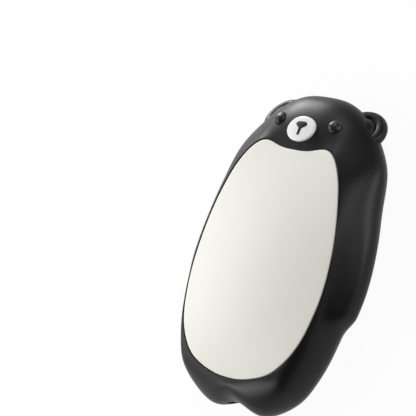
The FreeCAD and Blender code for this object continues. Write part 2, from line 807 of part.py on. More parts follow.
def socket_slot():
    """The slot between the feet that the charging socket looks through."""
    box = bound("Part::Box", "socket_slot_block", Length="sizes.socket_width + 2 * sizes.socket_gap",
                Width="sizes.main_board_setback + 2 * sizes.overrun",
                Height="sizes.socket_height + 2 * sizes.socket_gap",
                x="-sizes.socket_width / 2 - sizes.socket_gap", y=f"{NOTCH_Y} - sizes.overrun",
                z=f"{BOARD_TOP} - sizes.socket_gap")
    doc.recompute()
    radius = value("sizes.socket_corner + sizes.socket_gap")
    names = []
    for index, edge in enumerate(box.Shape.Edges, start=1):
        if edge.tangentAt(edge.FirstParameter).cross(Vector(0, 1, 0)).Length < PARALLEL_SHARE:
            names.append((index, radius, radius))
    slot = doc.addObject("Part::Fillet", "socket_slot")
    slot.Base = box
    slot.Edges = names
    return slot


def body_shell():
    """Moulded body: outer form and ears, hollowed, with the belly, back and face opened."""
    overrun = size("overrun")
    top = size("rim_height") + size("belly_crown") + overrun
    outer = fuse("outer_form", [feature("bear_form", OUTER)] + ears())
    floor_inset = value("sizes.cover_inset + sizes.cover_seat")
    hollow = bear_block(size("wall"), RIM_OFFSET, CEILING_DROP, floor_inset - size("wall"),
                        size("cover_thickness"), size("rim_height") - CEILING_DROP)
    hollow_less_islands = cut("hollow", feature("hollow_form", hollow), bosses())
    low = size("boss_top")
    seat_form = outline_prism(belly_curve, size("plate_gap"), low, top)
    seat = common("plate_seat", feature("seat_slab", crown_slab(LEDGE_DROP - top, top)),
                  feature("seat_outline", seat_form))
    window = feature("belly_window", outline_prism(belly_curve, -size("ledge_width"), low, top))
    back_form = outline_prism(body_curve, -size("cover_inset"), -overrun, size("cover_thickness"))
    back = feature("back_opening", back_form)
    mouth = muzzle_oval("muzzle_hole", "sizes.muzzle_gap", "sizes.button_seat_height - sizes.overrun",
                        "sizes.rim_height - sizes.button_seat_height + 2 * sizes.overrun")
    flange_room = muzzle_oval("flange_room", "sizes.muzzle_gap + sizes.flange_width + sizes.flange_gap",
                              BUTTON_BOARD_TOP, f"sizes.button_seat_height - {BUTTON_BOARD_TOP}")
    gap = "sizes.button_board_gap"
    board_room = bound("Part::Box", "button_board_room", Length=f"sizes.button_board_width + 2 * {gap}",
                       Width=f"sizes.button_board_length + 2 * {gap}",
                       Height=f"sizes.board_thickness + {gap}",
                       x=f"-sizes.button_board_width / 2 - {gap}",
                       y=f"{MUZZLE_Y} - sizes.button_board_length / 2 - {gap}",
                       z=f"{BUTTON_BOARD_BASE} - {gap}")
    tools = [hollow_less_islands, seat, window, back, mouth, flange_room, board_room, socket_slot()]
    tools += eye_holes() + pilot_holes()
    return cut("body_shell", outer, tools)


def rear_cover():
    """Flat back with a rounded edge, magnet pockets, screw holes and two posts for the main board."""
    overrun = size("overrun")
    form = feature("cover_outline", outline_prism(body_curve, -size("cover_inset") - size("cover_gap"),
                                                  -overrun, size("cover_thickness")))
    plate = common("cover_plate", feature("cover_form", OUTER), form)
    posts = []
    tools = []
    for name, sign in (("left", -1), ("right", 1)):
        place = {"x": f"{sign} * sizes.main_screw_spacing / 2",
                 "y": f"{BOARD_FRONT_Y} + sizes.main_screw_edge"}
        posts.append(bound("Part::Cylinder", f"board_post_{name}", Radius="sizes.post_radius",
                           Height="sizes.main_board_lift", z=COVER_TOP, **place))
        tools.append(bound("Part::Cylinder", f"board_pilot_{name}",
                           Radius="sizes.board_screw_radius + sizes.board_screw_clearance / 2",
                           Height="sizes.board_screw_length",
                           z=f"{BOARD_TOP} - sizes.board_screw_length", **place))
        for row, y in MAGNET_ROWS.items():
            tools.append(bound("Part::Cylinder", f"magnet_pocket_{row}_{name}",
                               Radius="sizes.magnet_radius + sizes.magnet_gap",
                               Height="sizes.magnet_thickness + sizes.overrun",
                               x=f"{sign} * {MAGNET_X}", y=y,
                               z=f"{COVER_TOP} - sizes.magnet_thickness"))
        for row, y in BOSS_ROWS.items():
            x = f"{sign} * {BOSS_X}"
            tools.append(bound("Part::Cylinder", f"cover_hole_{row}_{name}",
                               Radius="sizes.screw_radius + sizes.screw_clearance",
                               Height="sizes.cover_thickness + 2 * sizes.overrun",
                               x=x, y=y, z="-sizes.overrun"))
            tools.append(bound("Part::Cylinder", f"cover_sink_{row}_{name}",
                               Radius="sizes.screw_head_radius + sizes.screw_clearance",
                               Height="sizes.screw_head_height + sizes.screw_recess + sizes.overrun",
                               x=x, y=y, z="-sizes.overrun"))
    return cut("rear_cover", fuse("cover_with_posts", [plate] + posts), tools)


# Belly stack

def belly_stack():
    """Warming plate, bonding ring, heating film, and the foam that presses the film on the plate."""
    plate = size("plate_thickness")
    gasket_drop = plate + size("bond_gap")
    film_drop = plate + size("bond_gap")
    belly_sheet("belly_plate", 0, plate, 0)
    belly_sheet("plate_gasket", gasket_drop, size("gasket_thickness"), -size("plate_gap"),
                size("plate_gap") - size("ledge_width"))
    belly_sheet("heating_film", film_drop, size("film_thickness"), -size("film_inset"))
    foam_drop = film_drop + size("film_thickness") + size("foam_gap")
    base = value(f"{BATTERY_TOP} + sizes.foam_gap")
    top = size("rim_height") + size("belly_crown")
    slab = feature("foam_slab", crown_slab(foam_drop, top))
    form = feature("foam_outline", outline_prism(belly_curve, -size("foam_inset"), base, top))
    middle_y = f"({from_feet('belly_from_feet')} + {BELLY_LENGTH} / 2)"
    limits = bound("Part::Box", "foam_limits", Length=f"{BELLY_WIDTH} - 2 * sizes.foam_side",
                   Width=f"{from_top('belly_from_top')} - sizes.foam_end - {FOAM_FRONT_Y}",
                   Height="sizes.rim_height + sizes.belly_crown",
                   x=f"sizes.foam_side - {BELLY_WIDTH} / 2", y=FOAM_FRONT_Y)
    middle = Vector(0, value(middle_y), 0)
    underside = crown_height(middle) - film_drop - size("film_thickness")
    thermistor_base = underside - size("thermistor_gap") - size("thermistor_height")
    gap = "sizes.thermistor_gap"
    room = bound("Part::Box", "thermistor_room", Length=f"sizes.thermistor_width + 2 * {gap}",
                 Width=f"sizes.thermistor_length + 2 * {gap}",
                 Height="sizes.thermistor_height + sizes.overrun",
                 x=f"-sizes.thermistor_width / 2 - {gap}")
    room.Placement.Base.y = middle.y - size("thermistor_length") / 2 - size("thermistor_gap")
    room.Placement.Base.z = thermistor_base - size("thermistor_gap")
    cut("insulation_foam", common("foam_block", common("foam_sheet", slab, form), limits), [room])
    bead = new_body("thermistor")
    sketch = new_sketch(bead, "XY_Plane")
    rectangle(sketch, "sizes.thermistor_width", "sizes.thermistor_length")
    pad(bead, sketch, "sizes.thermistor_height")
    bead.Placement.Base = Vector(0, middle.y, thermistor_base)


# Muzzle button, nose and eyes

def muzzle_pieces():
    """The domed muzzle cap with its flange, and the dark nose and mouth set in its face."""
    radius = size("muzzle_dome_radius")
    centre = FACE_POINT + FACE_NORMAL * (size("muzzle_proud") - radius)

    def ball(name, change):
        item = bound("Part::Sphere", name, Radius=f"sizes.muzzle_dome_radius + {change}")
        item.Placement.Base = centre
        return item

    stem = muzzle_oval("muzzle_stem", "0", FLANGE_TOP,
                       "sizes.rim_height + sizes.overrun - sizes.button_seat_height")
    flange = muzzle_oval("muzzle_flange", "sizes.muzzle_gap + sizes.flange_width", FLANGE_BASE,
                         "sizes.flange_thickness")
    cap = fuse("muzzle_cap", [common("muzzle_dome", stem, ball("muzzle_ball", "0")), flange])
    pocket_form = nose_form("nose_pocket", "sizes.inlay_gap")
    floor = ball("pocket_floor", "-sizes.inlay_depth")
    cut("muzzle_button", cap, [cut("nose_recess", pocket_form, [floor])])
    blank = common("nose_blank", nose_form("nose_outline", "0"), ball("nose_ball", "sizes.inlay_proud"))
    cut("nose_inlay", blank, [ball("inlay_floor", "sizes.inlay_gap - sizes.inlay_depth")])


def nose_form(name, margin):
    """Upright block of the nose's oval and the short line of the mouth below it."""
    base = "sizes.button_seat_height"
    height = "sizes.rim_height + sizes.overrun - sizes.button_seat_height"
    ellipse = bound("Part::Ellipse", f"{name}_edge", MajorRadius=f"sizes.nose_width / 2 + {margin}",
                    MinorRadius=f"sizes.nose_length / 2 + {margin}",
                    y=f"{MUZZLE_Y} + sizes.nose_rise", z=base)
    oval = doc.addObject("Part::Extrusion", f"{name}_oval")
    oval.Base = ellipse
    oval.DirMode = "Custom"
    oval.Dir = UP
    oval.Solid = True
    oval.setExpression("LengthFwd", height)
    line = bound("Part::Box", f"{name}_line", Length=f"sizes.mouth_width + 2 * {margin}",
                 Width=f"sizes.mouth_length + {margin}", Height=height,
                 x=f"-sizes.mouth_width / 2 - {margin}",
                 y=f"{MUZZLE_Y} + sizes.nose_rise - sizes.mouth_length - {margin}", z=base)
    return fuse(name, [oval, line])


def eyes():
    """Bead eyes: a dome on a short disc, with a stem pressed into the face."""
    dome = "((sizes.eye_diameter ^ 2 / 4 + sizes.eye_dome ^ 2) / (2 * sizes.eye_dome))"
    for name, place in EYES.items():
        ball = bound("Part::Sphere", f"eye_ball_{name}", Radius=dome)
        placed(ball, place, size("eye_dome") - value(dome))
        disc = bound("Part::Cylinder", f"eye_disc_{name}", Radius="sizes.eye_diameter / 2",
                     Height="sizes.eye_seat + sizes.eye_dome - sizes.eye_gap")
        placed(disc, place, size("eye_gap") - size("eye_seat"))
        stem = bound("Part::Cylinder", f"eye_stem_{name}", Radius="sizes.eye_stem_diameter / 2",
                     Height="sizes.eye_stem_length + sizes.eye_seat")
        placed(stem, place, -value("sizes.eye_stem_length + sizes.eye_seat"))
        fuse(f"eye_{name}", [common(f"eye_dome_{name}", disc, ball), stem])


# Battery

def battery():
    """Pouch cell with rounded edges, its protection board and the pad that it lies on."""
    cell = new_body("battery_cell", y=BATTERY_Y, z=BATTERY_BASE)
    sketch = new_sketch(cell, "XY_Plane")
    rectangle(sketch, BATTERY_WIDTH, BATTERY_LENGTH)
    block = pad(cell, sketch, "sizes.battery_thickness")
    round_edges(cell, block, "sizes.battery_edge_round", Vector(0, 1, 0))

    bed = new_body("battery_pad", y=BATTERY_Y, z=COVER_TOP)
    sketch = new_sketch(bed, "XY_Plane")
    rectangle(sketch, f"{BATTERY_WIDTH} - 2 * sizes.battery_pad_inset",
              f"{BATTERY_LENGTH} - 2 * sizes.battery_pad_inset")
    pad(bed, sketch, "sizes.battery_pad_thickness")

    guard = new_body("battery_board", z=BATTERY_BASE,
                     y=f"{from_feet('battery_from_feet')} - sizes.battery_board_length / 2")
    sketch = new_sketch(guard, "XY_Plane")
    rectangle(sketch, "sizes.battery_board_width", "sizes.battery_board_length")
    pad(guard, sketch, "sizes.battery_board_height")


# Boards

def board(label, width, length, holes, **place):
    """A circuit board with rounded corners and two screw holes."""
    body = new_body(label, **place)
    sketch = new_sketch(body, "XY_Plane")
    rectangle(sketch, width, length)
    plate = pad(body, sketch, "sizes.board_thickness")
    round_edges(body, plate, "sizes.board_corner", UP)
    sketch = new_sketch(body, "XY_Plane")
    circles(sketch, holes, "sizes.board_screw_radius + sizes.board_screw_clearance")
    pocket(body, sketch, "sizes.board_thickness", reverse=True)


def boards():
    """The main board at the feet and the button board in the head."""
    hole_y = "sizes.main_screw_edge - sizes.main_board_length / 2"
    board("main_board", "sizes.main_board_width", "sizes.main_board_length",
          [("-sizes.main_screw_spacing / 2", hole_y), ("sizes.main_screw_spacing / 2", hole_y)],
          y=f"{BOARD_FRONT_Y} + sizes.main_board_length / 2", z=BOARD_BASE)
    hole_y = "-sizes.button_post_setback"
    board("button_board", "sizes.button_board_width", "sizes.button_board_length",
          [("-sizes.button_post_spacing / 2", hole_y), ("sizes.button_post_spacing / 2", hole_y)],
          y=MUZZLE_Y, z=BUTTON_BOARD_BASE)


def charging_socket():
    """Charging socket: a folded metal shell with a closed back, and the contact tongue inside it."""
    shell = new_body("usb_shell", y=SOCKET_FRONT_Y, z=SOCKET_MID_Z)
    sketch = new_sketch(shell, "XZ_Plane")
    rectangle(sketch, "sizes.socket_width", "sizes.socket_height")
    block = pad(shell, sketch, "sizes.socket_depth", reverse=True)
    round_edges(shell, block, "sizes.socket_corner", Vector(0, 1, 0))
    inner_height = "sizes.socket_height - 2 * sizes.socket_wall"
    sketch = new_sketch(shell, "XZ_Plane")
    rectangle(sketch, "sizes.socket_width - 2 * sizes.socket_wall", inner_height)
    pocket(shell, sketch, "sizes.socket_depth - sizes.socket_wall")
    tongue = new_body("usb_tongue", z=SOCKET_MID_Z,
                      y=f"{SOCKET_FRONT_Y} + sizes.socket_depth - sizes.socket_wall - sizes.tongue_gap")
    sketch = new_sketch(tongue, "XZ_Plane")
    rectangle(sketch, "sizes.tongue_width", "sizes.tongue_thickness")
    pad(tongue, sketch, "sizes.socket_floor + sizes.tongue_reach")
    sketch = new_sketch(tongue, "XZ_Plane")
    rectangle(sketch, "sizes.tongue_width", f"{inner_height} - 2 * sizes.tongue_gap")
    pad(tongue, sketch, "sizes.socket_floor")


def chip(label, width, length, height, **place):
    """A small block on a board."""
    body = new_body(label, **place)
    sketch = new_sketch(body, "XY_Plane")
    rectangle(sketch, width, length)
    return body, pad(body, sketch, height)


def board_parts():
    """Controller, inductor, capacitors and lead socket on the main board; lamps on the other."""
    chip_y = f"{BOARD_FRONT_Y} + sizes.main_board_length - sizes.chip_from_edge"
    chip("control_chip", "sizes.chip_side", "sizes.chip_side", "sizes.chip_height",
         x="sizes.chip_offset", y=chip_y, z=BOARD_TOP)
    coil, block = chip("inductor", "sizes.inductor_side", "sizes.inductor_side", "sizes.inductor_height",
                       x="-sizes.chip_offset", y=chip_y, z=BOARD_TOP)
    round_edges(coil, block, "sizes.inductor_round", UP)
    chip("battery_socket", "sizes.lead_socket_width", "sizes.lead_socket_length",
         "sizes.lead_socket_height", z=BOARD_TOP,
         y=f"{BOARD_BACK_Y} - sizes.lead_socket_from_edge - sizes.lead_socket_length / 2")
    block, _ = chip("capacitor", "sizes.capacitor_width", "sizes.capacitor_length",
                    "sizes.capacitor_height")
    y = f"{BOARD_BACK_Y} - sizes.capacitor_from_edge"
    places = []
    for step in (0, 1):
        x = f"sizes.capacitor_offset + sizes.capacitor_width / 2 + {step} * sizes.capacitor_pitch"
        places += [FreeCAD.Placement(base, FreeCAD.Rotation()) for base in sides(x, y, BOARD_TOP)]
    group("capacitors", block, places)
    lamp, _ = chip("lamp", "sizes.led_width", "sizes.led_length", "sizes.led_height")
    bases = sides("sizes.led_spacing / 2", MUZZLE_Y, BUTTON_BOARD_TOP)
    group("indicator_leds", lamp, [FreeCAD.Placement(base, FreeCAD.Rotation()) for base in bases])


def switch():
    """Push switch under the muzzle: a square body with a bore, and the plunger that slides in it."""
    case, _ = chip("switch_body", "sizes.switch_side", "sizes.switch_side", "sizes.switch_height",
                   y=MUZZLE_Y, z=BUTTON_BOARD_TOP)
    doc.recompute()
    sketch = new_sketch(case, "XY_Plane")
    sketch.setExpression(".AttachmentOffset.Base.z", "sizes.switch_height")
    circles(sketch, [("0", "0")], "sizes.plunger_radius + sizes.plunger_gap")
    pocket(case, sketch, f"sizes.plunger_inside + {PRESS_ROOM}")
    bound("Part::Cylinder", "switch_plunger", Radius="sizes.plunger_radius",
          Height=f"sizes.plunger_inside + {PRESS_ROOM}", y=MUZZLE_Y,
          z=f"{SWITCH_TOP} - sizes.plunger_inside")


# Fasteners and magnets

def screw(label, head_radius, head_height, radius, length):
    """A pan-head screw that stands on its head."""
    body = new_body(label)
    sketch = new_sketch(body, "XZ_Plane")
    tip = f"{head_height} + {length}"
    profile(sketch, [("0", "0"), (head_radius, "0"), (head_radius, head_height), (radius, head_height),
                     (radius, tip), ("0", tip)])
    revolve(body, sketch)
    return body


def fasteners():
    """Four cover screws, four board screws and four magnets."""
    upright = FreeCAD.Rotation()
    pin = screw("cover_screw", "sizes.screw_head_radius", "sizes.screw_head_height",
                "sizes.screw_radius", "(sizes.screw_length - sizes.screw_clearance)")
    bases = []
    for y in BOSS_ROWS.values():
        bases += sides(BOSS_X, y, "sizes.screw_recess")
    group("cover_screws", pin, [FreeCAD.Placement(base, upright) for base in bases])

    pin = screw("board_screw", "sizes.board_screw_head_radius", "sizes.board_screw_head_height",
                "sizes.board_screw_radius", "(sizes.board_screw_length - sizes.board_screw_clearance)")
    head = "sizes.board_screw_head_height"
    bases = sides("sizes.button_post_spacing / 2", f"{MUZZLE_Y} - sizes.button_post_setback",
                  f"{BUTTON_BOARD_BASE} - {head}")
    places = [FreeCAD.Placement(base, upright) for base in bases]
    bases = sides("sizes.main_screw_spacing / 2", f"{BOARD_FRONT_Y} + sizes.main_screw_edge",
                  f"{BOARD_TOP} + {head}")
    upside_down = FreeCAD.Rotation(Vector(1, 0, 0), 180)
    places += [FreeCAD.Placement(base, upside_down) for base in bases]
    group("board_screws", pin, places)

    disc = bound("Part::Cylinder", "magnet", Radius="sizes.magnet_radius", Height="sizes.magnet_thickness")
    bases = []
    for y in MAGNET_ROWS.values():
        bases += sides(MAGNET_X, y, f"{COVER_TOP} - sizes.magnet_thickness")
    group("magnets", disc, [FreeCAD.Placement(base, upright) for base in bases])


# Leads

def lead(label, points, diameter, bends):
    """A round lead along straight runs, with an arc of the given radius at each corner."""
    edges = []
    start = points[0]
    for before, corner, after, radius in zip(points, points[1:], points[2:], bends):
        inward = (before - corner).normalize()
        onward = (after - corner).normalize()
        half_angle = inward.getAngle(onward) / 2
        reach = radius / math.tan(half_angle)
        arc_start = corner + inward * reach
        arc_end = corner + onward * reach
        middle = (inward + onward).normalize()
        top = corner + middle * (radius / math.sin(half_angle) - radius)
        edges.append(Part.LineSegment(start, arc_start).toShape())
        edges.append(Part.Arc(arc_start, top, arc_end).toShape())
        start = arc_end
    edges.append(Part.LineSegment(start, points[-1]).toShape())
    path = Part.Wire(edges)
    ring = Part.Wire(Part.Circle(points[0], points[1] - points[0], diameter / 2).toShape())
    tube = path.makePipeShell([ring], True, True)
    section = math.pi * diameter ** 2 / 4
    if abs(tube.Volume / (section * path.Length) - 1) > VOLUME_ERROR_SHARE:
        raise ValueError(f"{label} is not a clean tube")
    return feature(label, tube)


def leads():
    """Battery leads, heater leads and the cable between the two boards."""
    thin = size("lead_diameter")
    front = value(f"{BOARD_BACK_Y} - sizes.lead_socket_from_edge")
    back = value(f"{from_feet('battery_from_feet')} - sizes.battery_board_length")
    height = value(f"{BOARD_TOP} + sizes.battery_lead_height")
    for label, sign in (("battery_lead_red", -1), ("battery_lead_black", 1)):
        x = sign * size("battery_lead_spacing") / 2
        lead(label, [Vector(x, back, height), Vector(x, front, height)], thin, [])

    y = value(HEATER_LEAD_Y)
    base = value(BOARD_TOP)
    beside_chips = value("sizes.chip_offset + sizes.inductor_side / 2 + sizes.heater_lead_gap") + thin / 2
    for label, sign in (("heater_lead_left", -1), ("heater_lead_right", 1)):
        x = sign * beside_chips
        top = crown_height(Vector(x, y, 0)) - value(
            "sizes.plate_thickness + sizes.bond_gap + sizes.film_thickness + sizes.lead_gap")
        lead(label, [Vector(x, y, base), Vector(x, y, top)], thin, [])

    side = -value(f"{BATTERY_WIDTH} / 2 + sizes.cable_side_gap + sizes.cable_diameter / 2")
    height = size("cable_height")
    start = Vector(-size("cable_start_offset"), value(f"{MUZZLE_Y} - sizes.cable_start_setback"), 0)
    end = Vector(-size("cable_end_offset"), value(f"{BOARD_BACK_Y} - sizes.cable_end_from_edge"), 0)
    upper = value(f"{from_top('battery_from_top')} + sizes.cable_end_gap")
    lower = value(f"{from_feet('battery_from_feet')} - sizes.cable_end_gap")
    drop_bend = size("cable_drop_bend")
    bend = size("cable_bend")
    lead("button_cable", [
        Vector(start.x, start.y, value(BUTTON_BOARD_BASE)), Vector(start.x, start.y, height),
        Vector(side, upper, height), Vector(side, lower, height),
        Vector(end.x, end.y, height), Vector(end.x, end.y, base),
    ], size("cable_diameter"), [drop_bend, bend, bend, drop_bend])


NODES = [
    "body_shell", "rear_cover", "belly_plate", "plate_gasket", "heating_film", "thermistor",
    "insulation_foam", "battery_cell", "battery_board", "battery_pad", "main_board", "usb_shell",
    "usb_tongue", "control_chip", "inductor", "capacitors", "battery_socket", "battery_lead_red",
    "battery_lead_black", "heater_lead_left", "heater_lead_right", "button_board", "switch_body",
    "switch_plunger", "indicator_leds", "button_cable", "muzzle_button", "nose_inlay", "eye_left",
    "eye_right", "magnets", "cover_screws", "board_screws",
]


def main():
    """Build every piece, check it and write it."""
    body_shell()
    rear_cover()
    belly_stack()
    muzzle_pieces()
    eyes()
    battery()
    boards()
    charging_socket()
    board_parts()
    switch()
    fasteners()
    leads()
    doc.recompute()
    for item in doc.Objects:
        if "Invalid" in item.State or "Error" in item.State:
            raise ValueError(f"{item.Label} failed: {item.State}")
    os.makedirs("parts", exist_ok=True)
    for label in NODES:
        shape = doc.getObjectsByLabel(label)[0].Shape
        if shape.isNull() or not shape.isValid():
            raise ValueError(f"{label} has no valid shape")
        print(label, len(shape.Solids), round(shape.Volume, 2))
    for label in NODES:
        doc.getObjectsByLabel(label)[0].Shape.exportStep(f"parts/{label}.step")


main()
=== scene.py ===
"""Looks of a bear-shaped rechargeable hand warmer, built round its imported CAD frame.

Everything is in metres on the frame's own axes: the warmer lies on its flat back, +Z is the belly side,
+Y the head and +X the viewer's right.
"""
import json
import math

import bmesh
import bpy
import numpy as np
from mathutils import Matrix, Vector
from mathutils.bvhtree import BVHTree


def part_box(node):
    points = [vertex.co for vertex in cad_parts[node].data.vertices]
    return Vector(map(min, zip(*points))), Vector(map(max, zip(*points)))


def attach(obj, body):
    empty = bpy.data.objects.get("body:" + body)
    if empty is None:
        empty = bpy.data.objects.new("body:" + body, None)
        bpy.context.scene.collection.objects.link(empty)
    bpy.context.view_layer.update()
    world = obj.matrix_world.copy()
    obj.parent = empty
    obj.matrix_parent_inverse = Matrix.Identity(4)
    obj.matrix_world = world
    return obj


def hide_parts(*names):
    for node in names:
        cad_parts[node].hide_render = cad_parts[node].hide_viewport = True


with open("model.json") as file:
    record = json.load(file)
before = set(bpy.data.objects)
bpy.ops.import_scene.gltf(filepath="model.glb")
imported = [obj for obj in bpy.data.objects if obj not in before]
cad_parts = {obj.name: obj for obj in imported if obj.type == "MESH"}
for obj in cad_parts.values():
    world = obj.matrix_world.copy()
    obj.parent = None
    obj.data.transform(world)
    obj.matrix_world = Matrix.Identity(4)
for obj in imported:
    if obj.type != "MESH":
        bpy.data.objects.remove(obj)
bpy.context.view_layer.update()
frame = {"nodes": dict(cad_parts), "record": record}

bl_info = {
    "name": "Bear hand warmer",
    "version": (1, 0, 0),
    "blender": (4, 5, 0),
    "location": "3D View > Sidebar > Hand warmer",
    "description": "Models and paints the pieces of a bear-shaped rechargeable hand warmer",
    "category": "Object",
}

MM = 0.001
MERGE = 0.001 * MM
FULL_TURN = 2 * math.pi
# How finely the meshes are divided: columns round the body and the plate, steps round the other pieces,
# and rows from one edge of a surface to the next
BODY_COLUMNS = 360
PLATE_COLUMNS = 300
MUZZLE_STEPS = 144
OVAL_STEPS = 96
EAR_STEPS = 72
EYE_STEPS = 64
SCREW_STEPS = 44
FLOOR_STEPS = 96
SLOPE_ROWS = 29
TURN_ROWS = 10
PLATE_ROWS = 25
PLATE_EDGE_ROWS = 7
UNDERSIDE_ROWS = 13
MUZZLE_ROWS = 17
MUZZLE_EDGE_ROWS = 8
SEAM_HALVINGS = 30

# Stations run up the right side, from the notch between the feet to the top of the head. Each has a
# point of the belly's edge, a point of the widest outline below it, and how round the slope between
# the two is: 0 is a plain bevel, 1 a quarter ellipse.
BELLY_SHARES = [
    (0, 0), (0.253, 0.009), (0.547, 0.046), (0.713, 0.096), (0.816, 0.147), (0.914, 0.229),
    (0.977, 0.342), (1, 0.45), (0.983, 0.583), (0.929, 0.708), (0.856, 0.8125), (0.764, 0.904),
    (0.626, 0.983), (0.448, 1.019), (0.23, 1.002), (0, 0.996),
]
BODY_SHARES = [
    (0, 0.0198), (0.257, 0), (0.495, 0.0233), (0.667, 0.0689), (0.767, 0.1234), (0.857, 0.2038),
    (0.924, 0.3089), (0.976, 0.4081), (1, 0.5202), (0.987, 0.6254), (0.942, 0.7112), (0.881, 0.8069),
    (0.722, 0.8882), (0.528, 0.9492), (0.268, 0.9914), (0, 1),
]
ROUNDNESS_SHARES = [0.9, 0.5, 0.55, 1, 0.85, 0.6, 0.3, 0.15, 0.1, 0.15, 0.2, 0.1, -0.08, 0.33, 0.85, 1]
LAST_STATION = len(BODY_SHARES) - 1
# Handles of the slope's curve, on a plain bevel and on a quarter ellipse, as shares of its run and fall
OUT_HANDLE_SHARES = (0.33, 0.55)
DOWN_HANDLE_SHARES = (0.25, 0)
FALL_HANDLE_SHARES = (0.7, 0.45)
# The arm swells from the hand's end, holds, and dies away into the shoulder
HAND_STATIONS = (5.8, 6.55)
SHOULDER_STATIONS = (6.9, 9.6)
ARM_FRONT_SHARES = (0.2, 0.75)
ARM_BACK_SHARES = (1.1, 1.9)
# Rows of the hollow's wall: shares of the turn to the back, then shares of the slope
HOLLOW_TURN_SHARES = (1, 0.75, 0.5, 0.25)
HOLLOW_SLOPE_SHARES = (1, 0.85, 0.7, 0.55, 0.4, 0.25, 0.12, 0)
# How far the ears stop short of the hollow inside the wall, and of the rear cover's seat
EAR_ROOT_WALL = 0.5 * MM
EAR_ROOT_SEAT = 0.2 * MM
# Right half of the nose and of the mouth's line, as shares of the nose's half width and half length
NOSE_SHARES = [
    (0, 1), (0.5, 0.96), (0.84, 0.74), (1, 0.28), (0.93, -0.2), (0.66, -0.62), (0.36, -0.95),
    (0.24, -1.3), (0.22, -3.0), (0.14, -3.25), (0, -3.3),
]
# Root, crest and root of one turn of a screw's thread, as shares of its pitch, and the tip as a share of
# the root's radius
THREAD_SHARES = (0.25, 0.5, 0.75)
TIP_SHARE = 0.3
# The edges at the socket's mouth turn by more than this
MOUTH_ANGLE = math.radians(57)
# Size in millimetres of the slow drift in every finish's colour, and how much lighter the coating gets
BROAD_DRIFT = 9.0
COATING_DRIFT_SHARE = 1.25
# Width of a gilded contact as a share of the pitch, and how squarely a face looks up or down to carry them
CONTACT_SHARE = 0.45
CONTACT_FACE_SHARE = 0.5
# The camera's right, up and backward axes, the point in the middle of the picture, the lens and the
# sensor in millimetres, the width of the picture at the warmer, and the nearest distance that it shows
CAMERA_AXES = [(0.7289, 0.2871, -0.6215), (-0.1540, 0.9533, 0.2598), (0.667, -0.0937, 0.739)]
CAMERA_AIM = (-0.01176, 0.00525, 0.03244)
CAMERA_LENS = 200.0
CAMERA_SENSOR = 36.0
CAMERA_FIELD = 0.1248
CAMERA_CLIP = 0.01
# The round floor and the low wall round it, just high enough to fill a picture from the floor's level, the
# share of the floor's white that shadows don't touch, its gap under the back, and the sky's strength
FLOOR_RADIUS = 4.0
BACKDROP_HEIGHT = 0.45
FLOOR_GLOW_SHARE = 0.95
FLOOR_GAP = 0.02 * MM
SKY_LIGHT = 0.13
# Lamps: where they stand along the camera's axes, how far from the aim, how wide in metres, and watts
LAMPS = [
    ("key", -0.97, -0.06, -0.12, 0.5, 0.35, 0.77),
    ("high", -0.9, 0.3, -0.1, 0.5, 0.3, 0.65),
    ("low", -0.83, -0.55, 0.1, 0.5, 0.14, 0.93),
    ("back", -0.34, 0.8, -0.5, 0.45, 0.17, 1.6),
    ("top", -0.17, 0.94, 0.3, 0.5, 0.14, 0.39),
    ("side", 0.75, 0.27, 0.6, 0.5, 0.14, 0.56),
    ("front", 0.3, 0.42, 0.86, 0.5, 0.14, 0.45),
]


# Values that a user may change

def linear(code):
    """Linear colour of an sRGB hex code."""
    colour = []
    for start in (1, 3, 5):
        share = int(code[start:start + 2], 16) / 255
        colour.append(share / 12.92 if share <= 0.04045 else ((share + 0.055) / 1.055) ** 2.4)
    return colour + [1.0]


def length(name, millimetres, description):
    """A length, given in millimetres and kept in metres."""
    return bpy.props.FloatProperty(name=name, description=description, default=millimetres * MM,
                                   unit="LENGTH", subtype="DISTANCE", precision=5)


def angle(name, degrees, description):
    """An angle, given in degrees and kept in radians."""
    return bpy.props.FloatProperty(name=name, description=description, default=math.radians(degrees),
                                   unit="ROTATION", subtype="ANGLE")


def tint(name, code, description):
    """A colour, given as an sRGB hex code and kept as linear values."""
    return bpy.props.FloatVectorProperty(name=name, description=description, default=linear(code),
                                         size=4, min=0, max=1, subtype="COLOR")


class BodySizes(bpy.types.PropertyGroup):
    """Sizes of the body, the belly and the back"""
    body_length: length("Body length", 99.5, "From the soles of the feet to the top of the head")
    body_width: length("Body width", 63.0, "Across the widest outline, without the arms' rise")
    widest_height: length("Widest height", 6.0, "Height of the widest outline above the flat back")
    back_round: length("Back round", 6.0, "Radius between the widest outline and the flat back")
    wall: length("Wall", 1.8, "Thickness of the moulded wall")
    arm_rise: length("Arm rise", 2.55, "How far the arms stand out of the sides")
    belly_from_feet: length("Belly from feet", 8.25, "From the soles to the lower edge of the belly plate")
    belly_from_top: length("Belly from top", 19.25, "From the top of the head to the belly plate")
    belly_side: length("Belly side", 5.4, "From the widest outline to the side of the belly plate")
    rim_height: length("Rim height", 15.9, "Height of the belly's edge above the flat back")
    belly_crown: length("Belly crown", 2.4, "Rise of the belly plate's middle over its edge")
    rim_land: length("Rim land", 0.35, "Flat strip of the body round the belly plate")
    plate_gap: length("Plate gap", 0.15, "Gap between the belly plate and the body")
    plate_thickness: length("Plate thickness", 1.2, "Thickness of the belly plate")
    plate_edge: length("Plate edge", 0.3, "Radius of the belly plate's edge")
    ledge_drop: length("Ledge drop", 1.54, "From the belly's surface to the ledge that carries the plate")
    ledge_width: length("Ledge width", 2.4, "Width of the ledge under the plate's edge")
    ceiling_drop: length("Ceiling drop", 2.84, "From the belly's surface to the underside of the ledge")
    cover_thickness: length("Cover thickness", 2.6, "Thickness of the rear cover")
    cover_inset: length("Cover inset", 2.8, "From the widest outline to the rear cover's seam")
    cover_seat: length("Cover seat", 1.0, "Width of the step that the rear cover lies against")
    edge_break: length("Edge break", 0.12, "Rounding of the moulded edges")


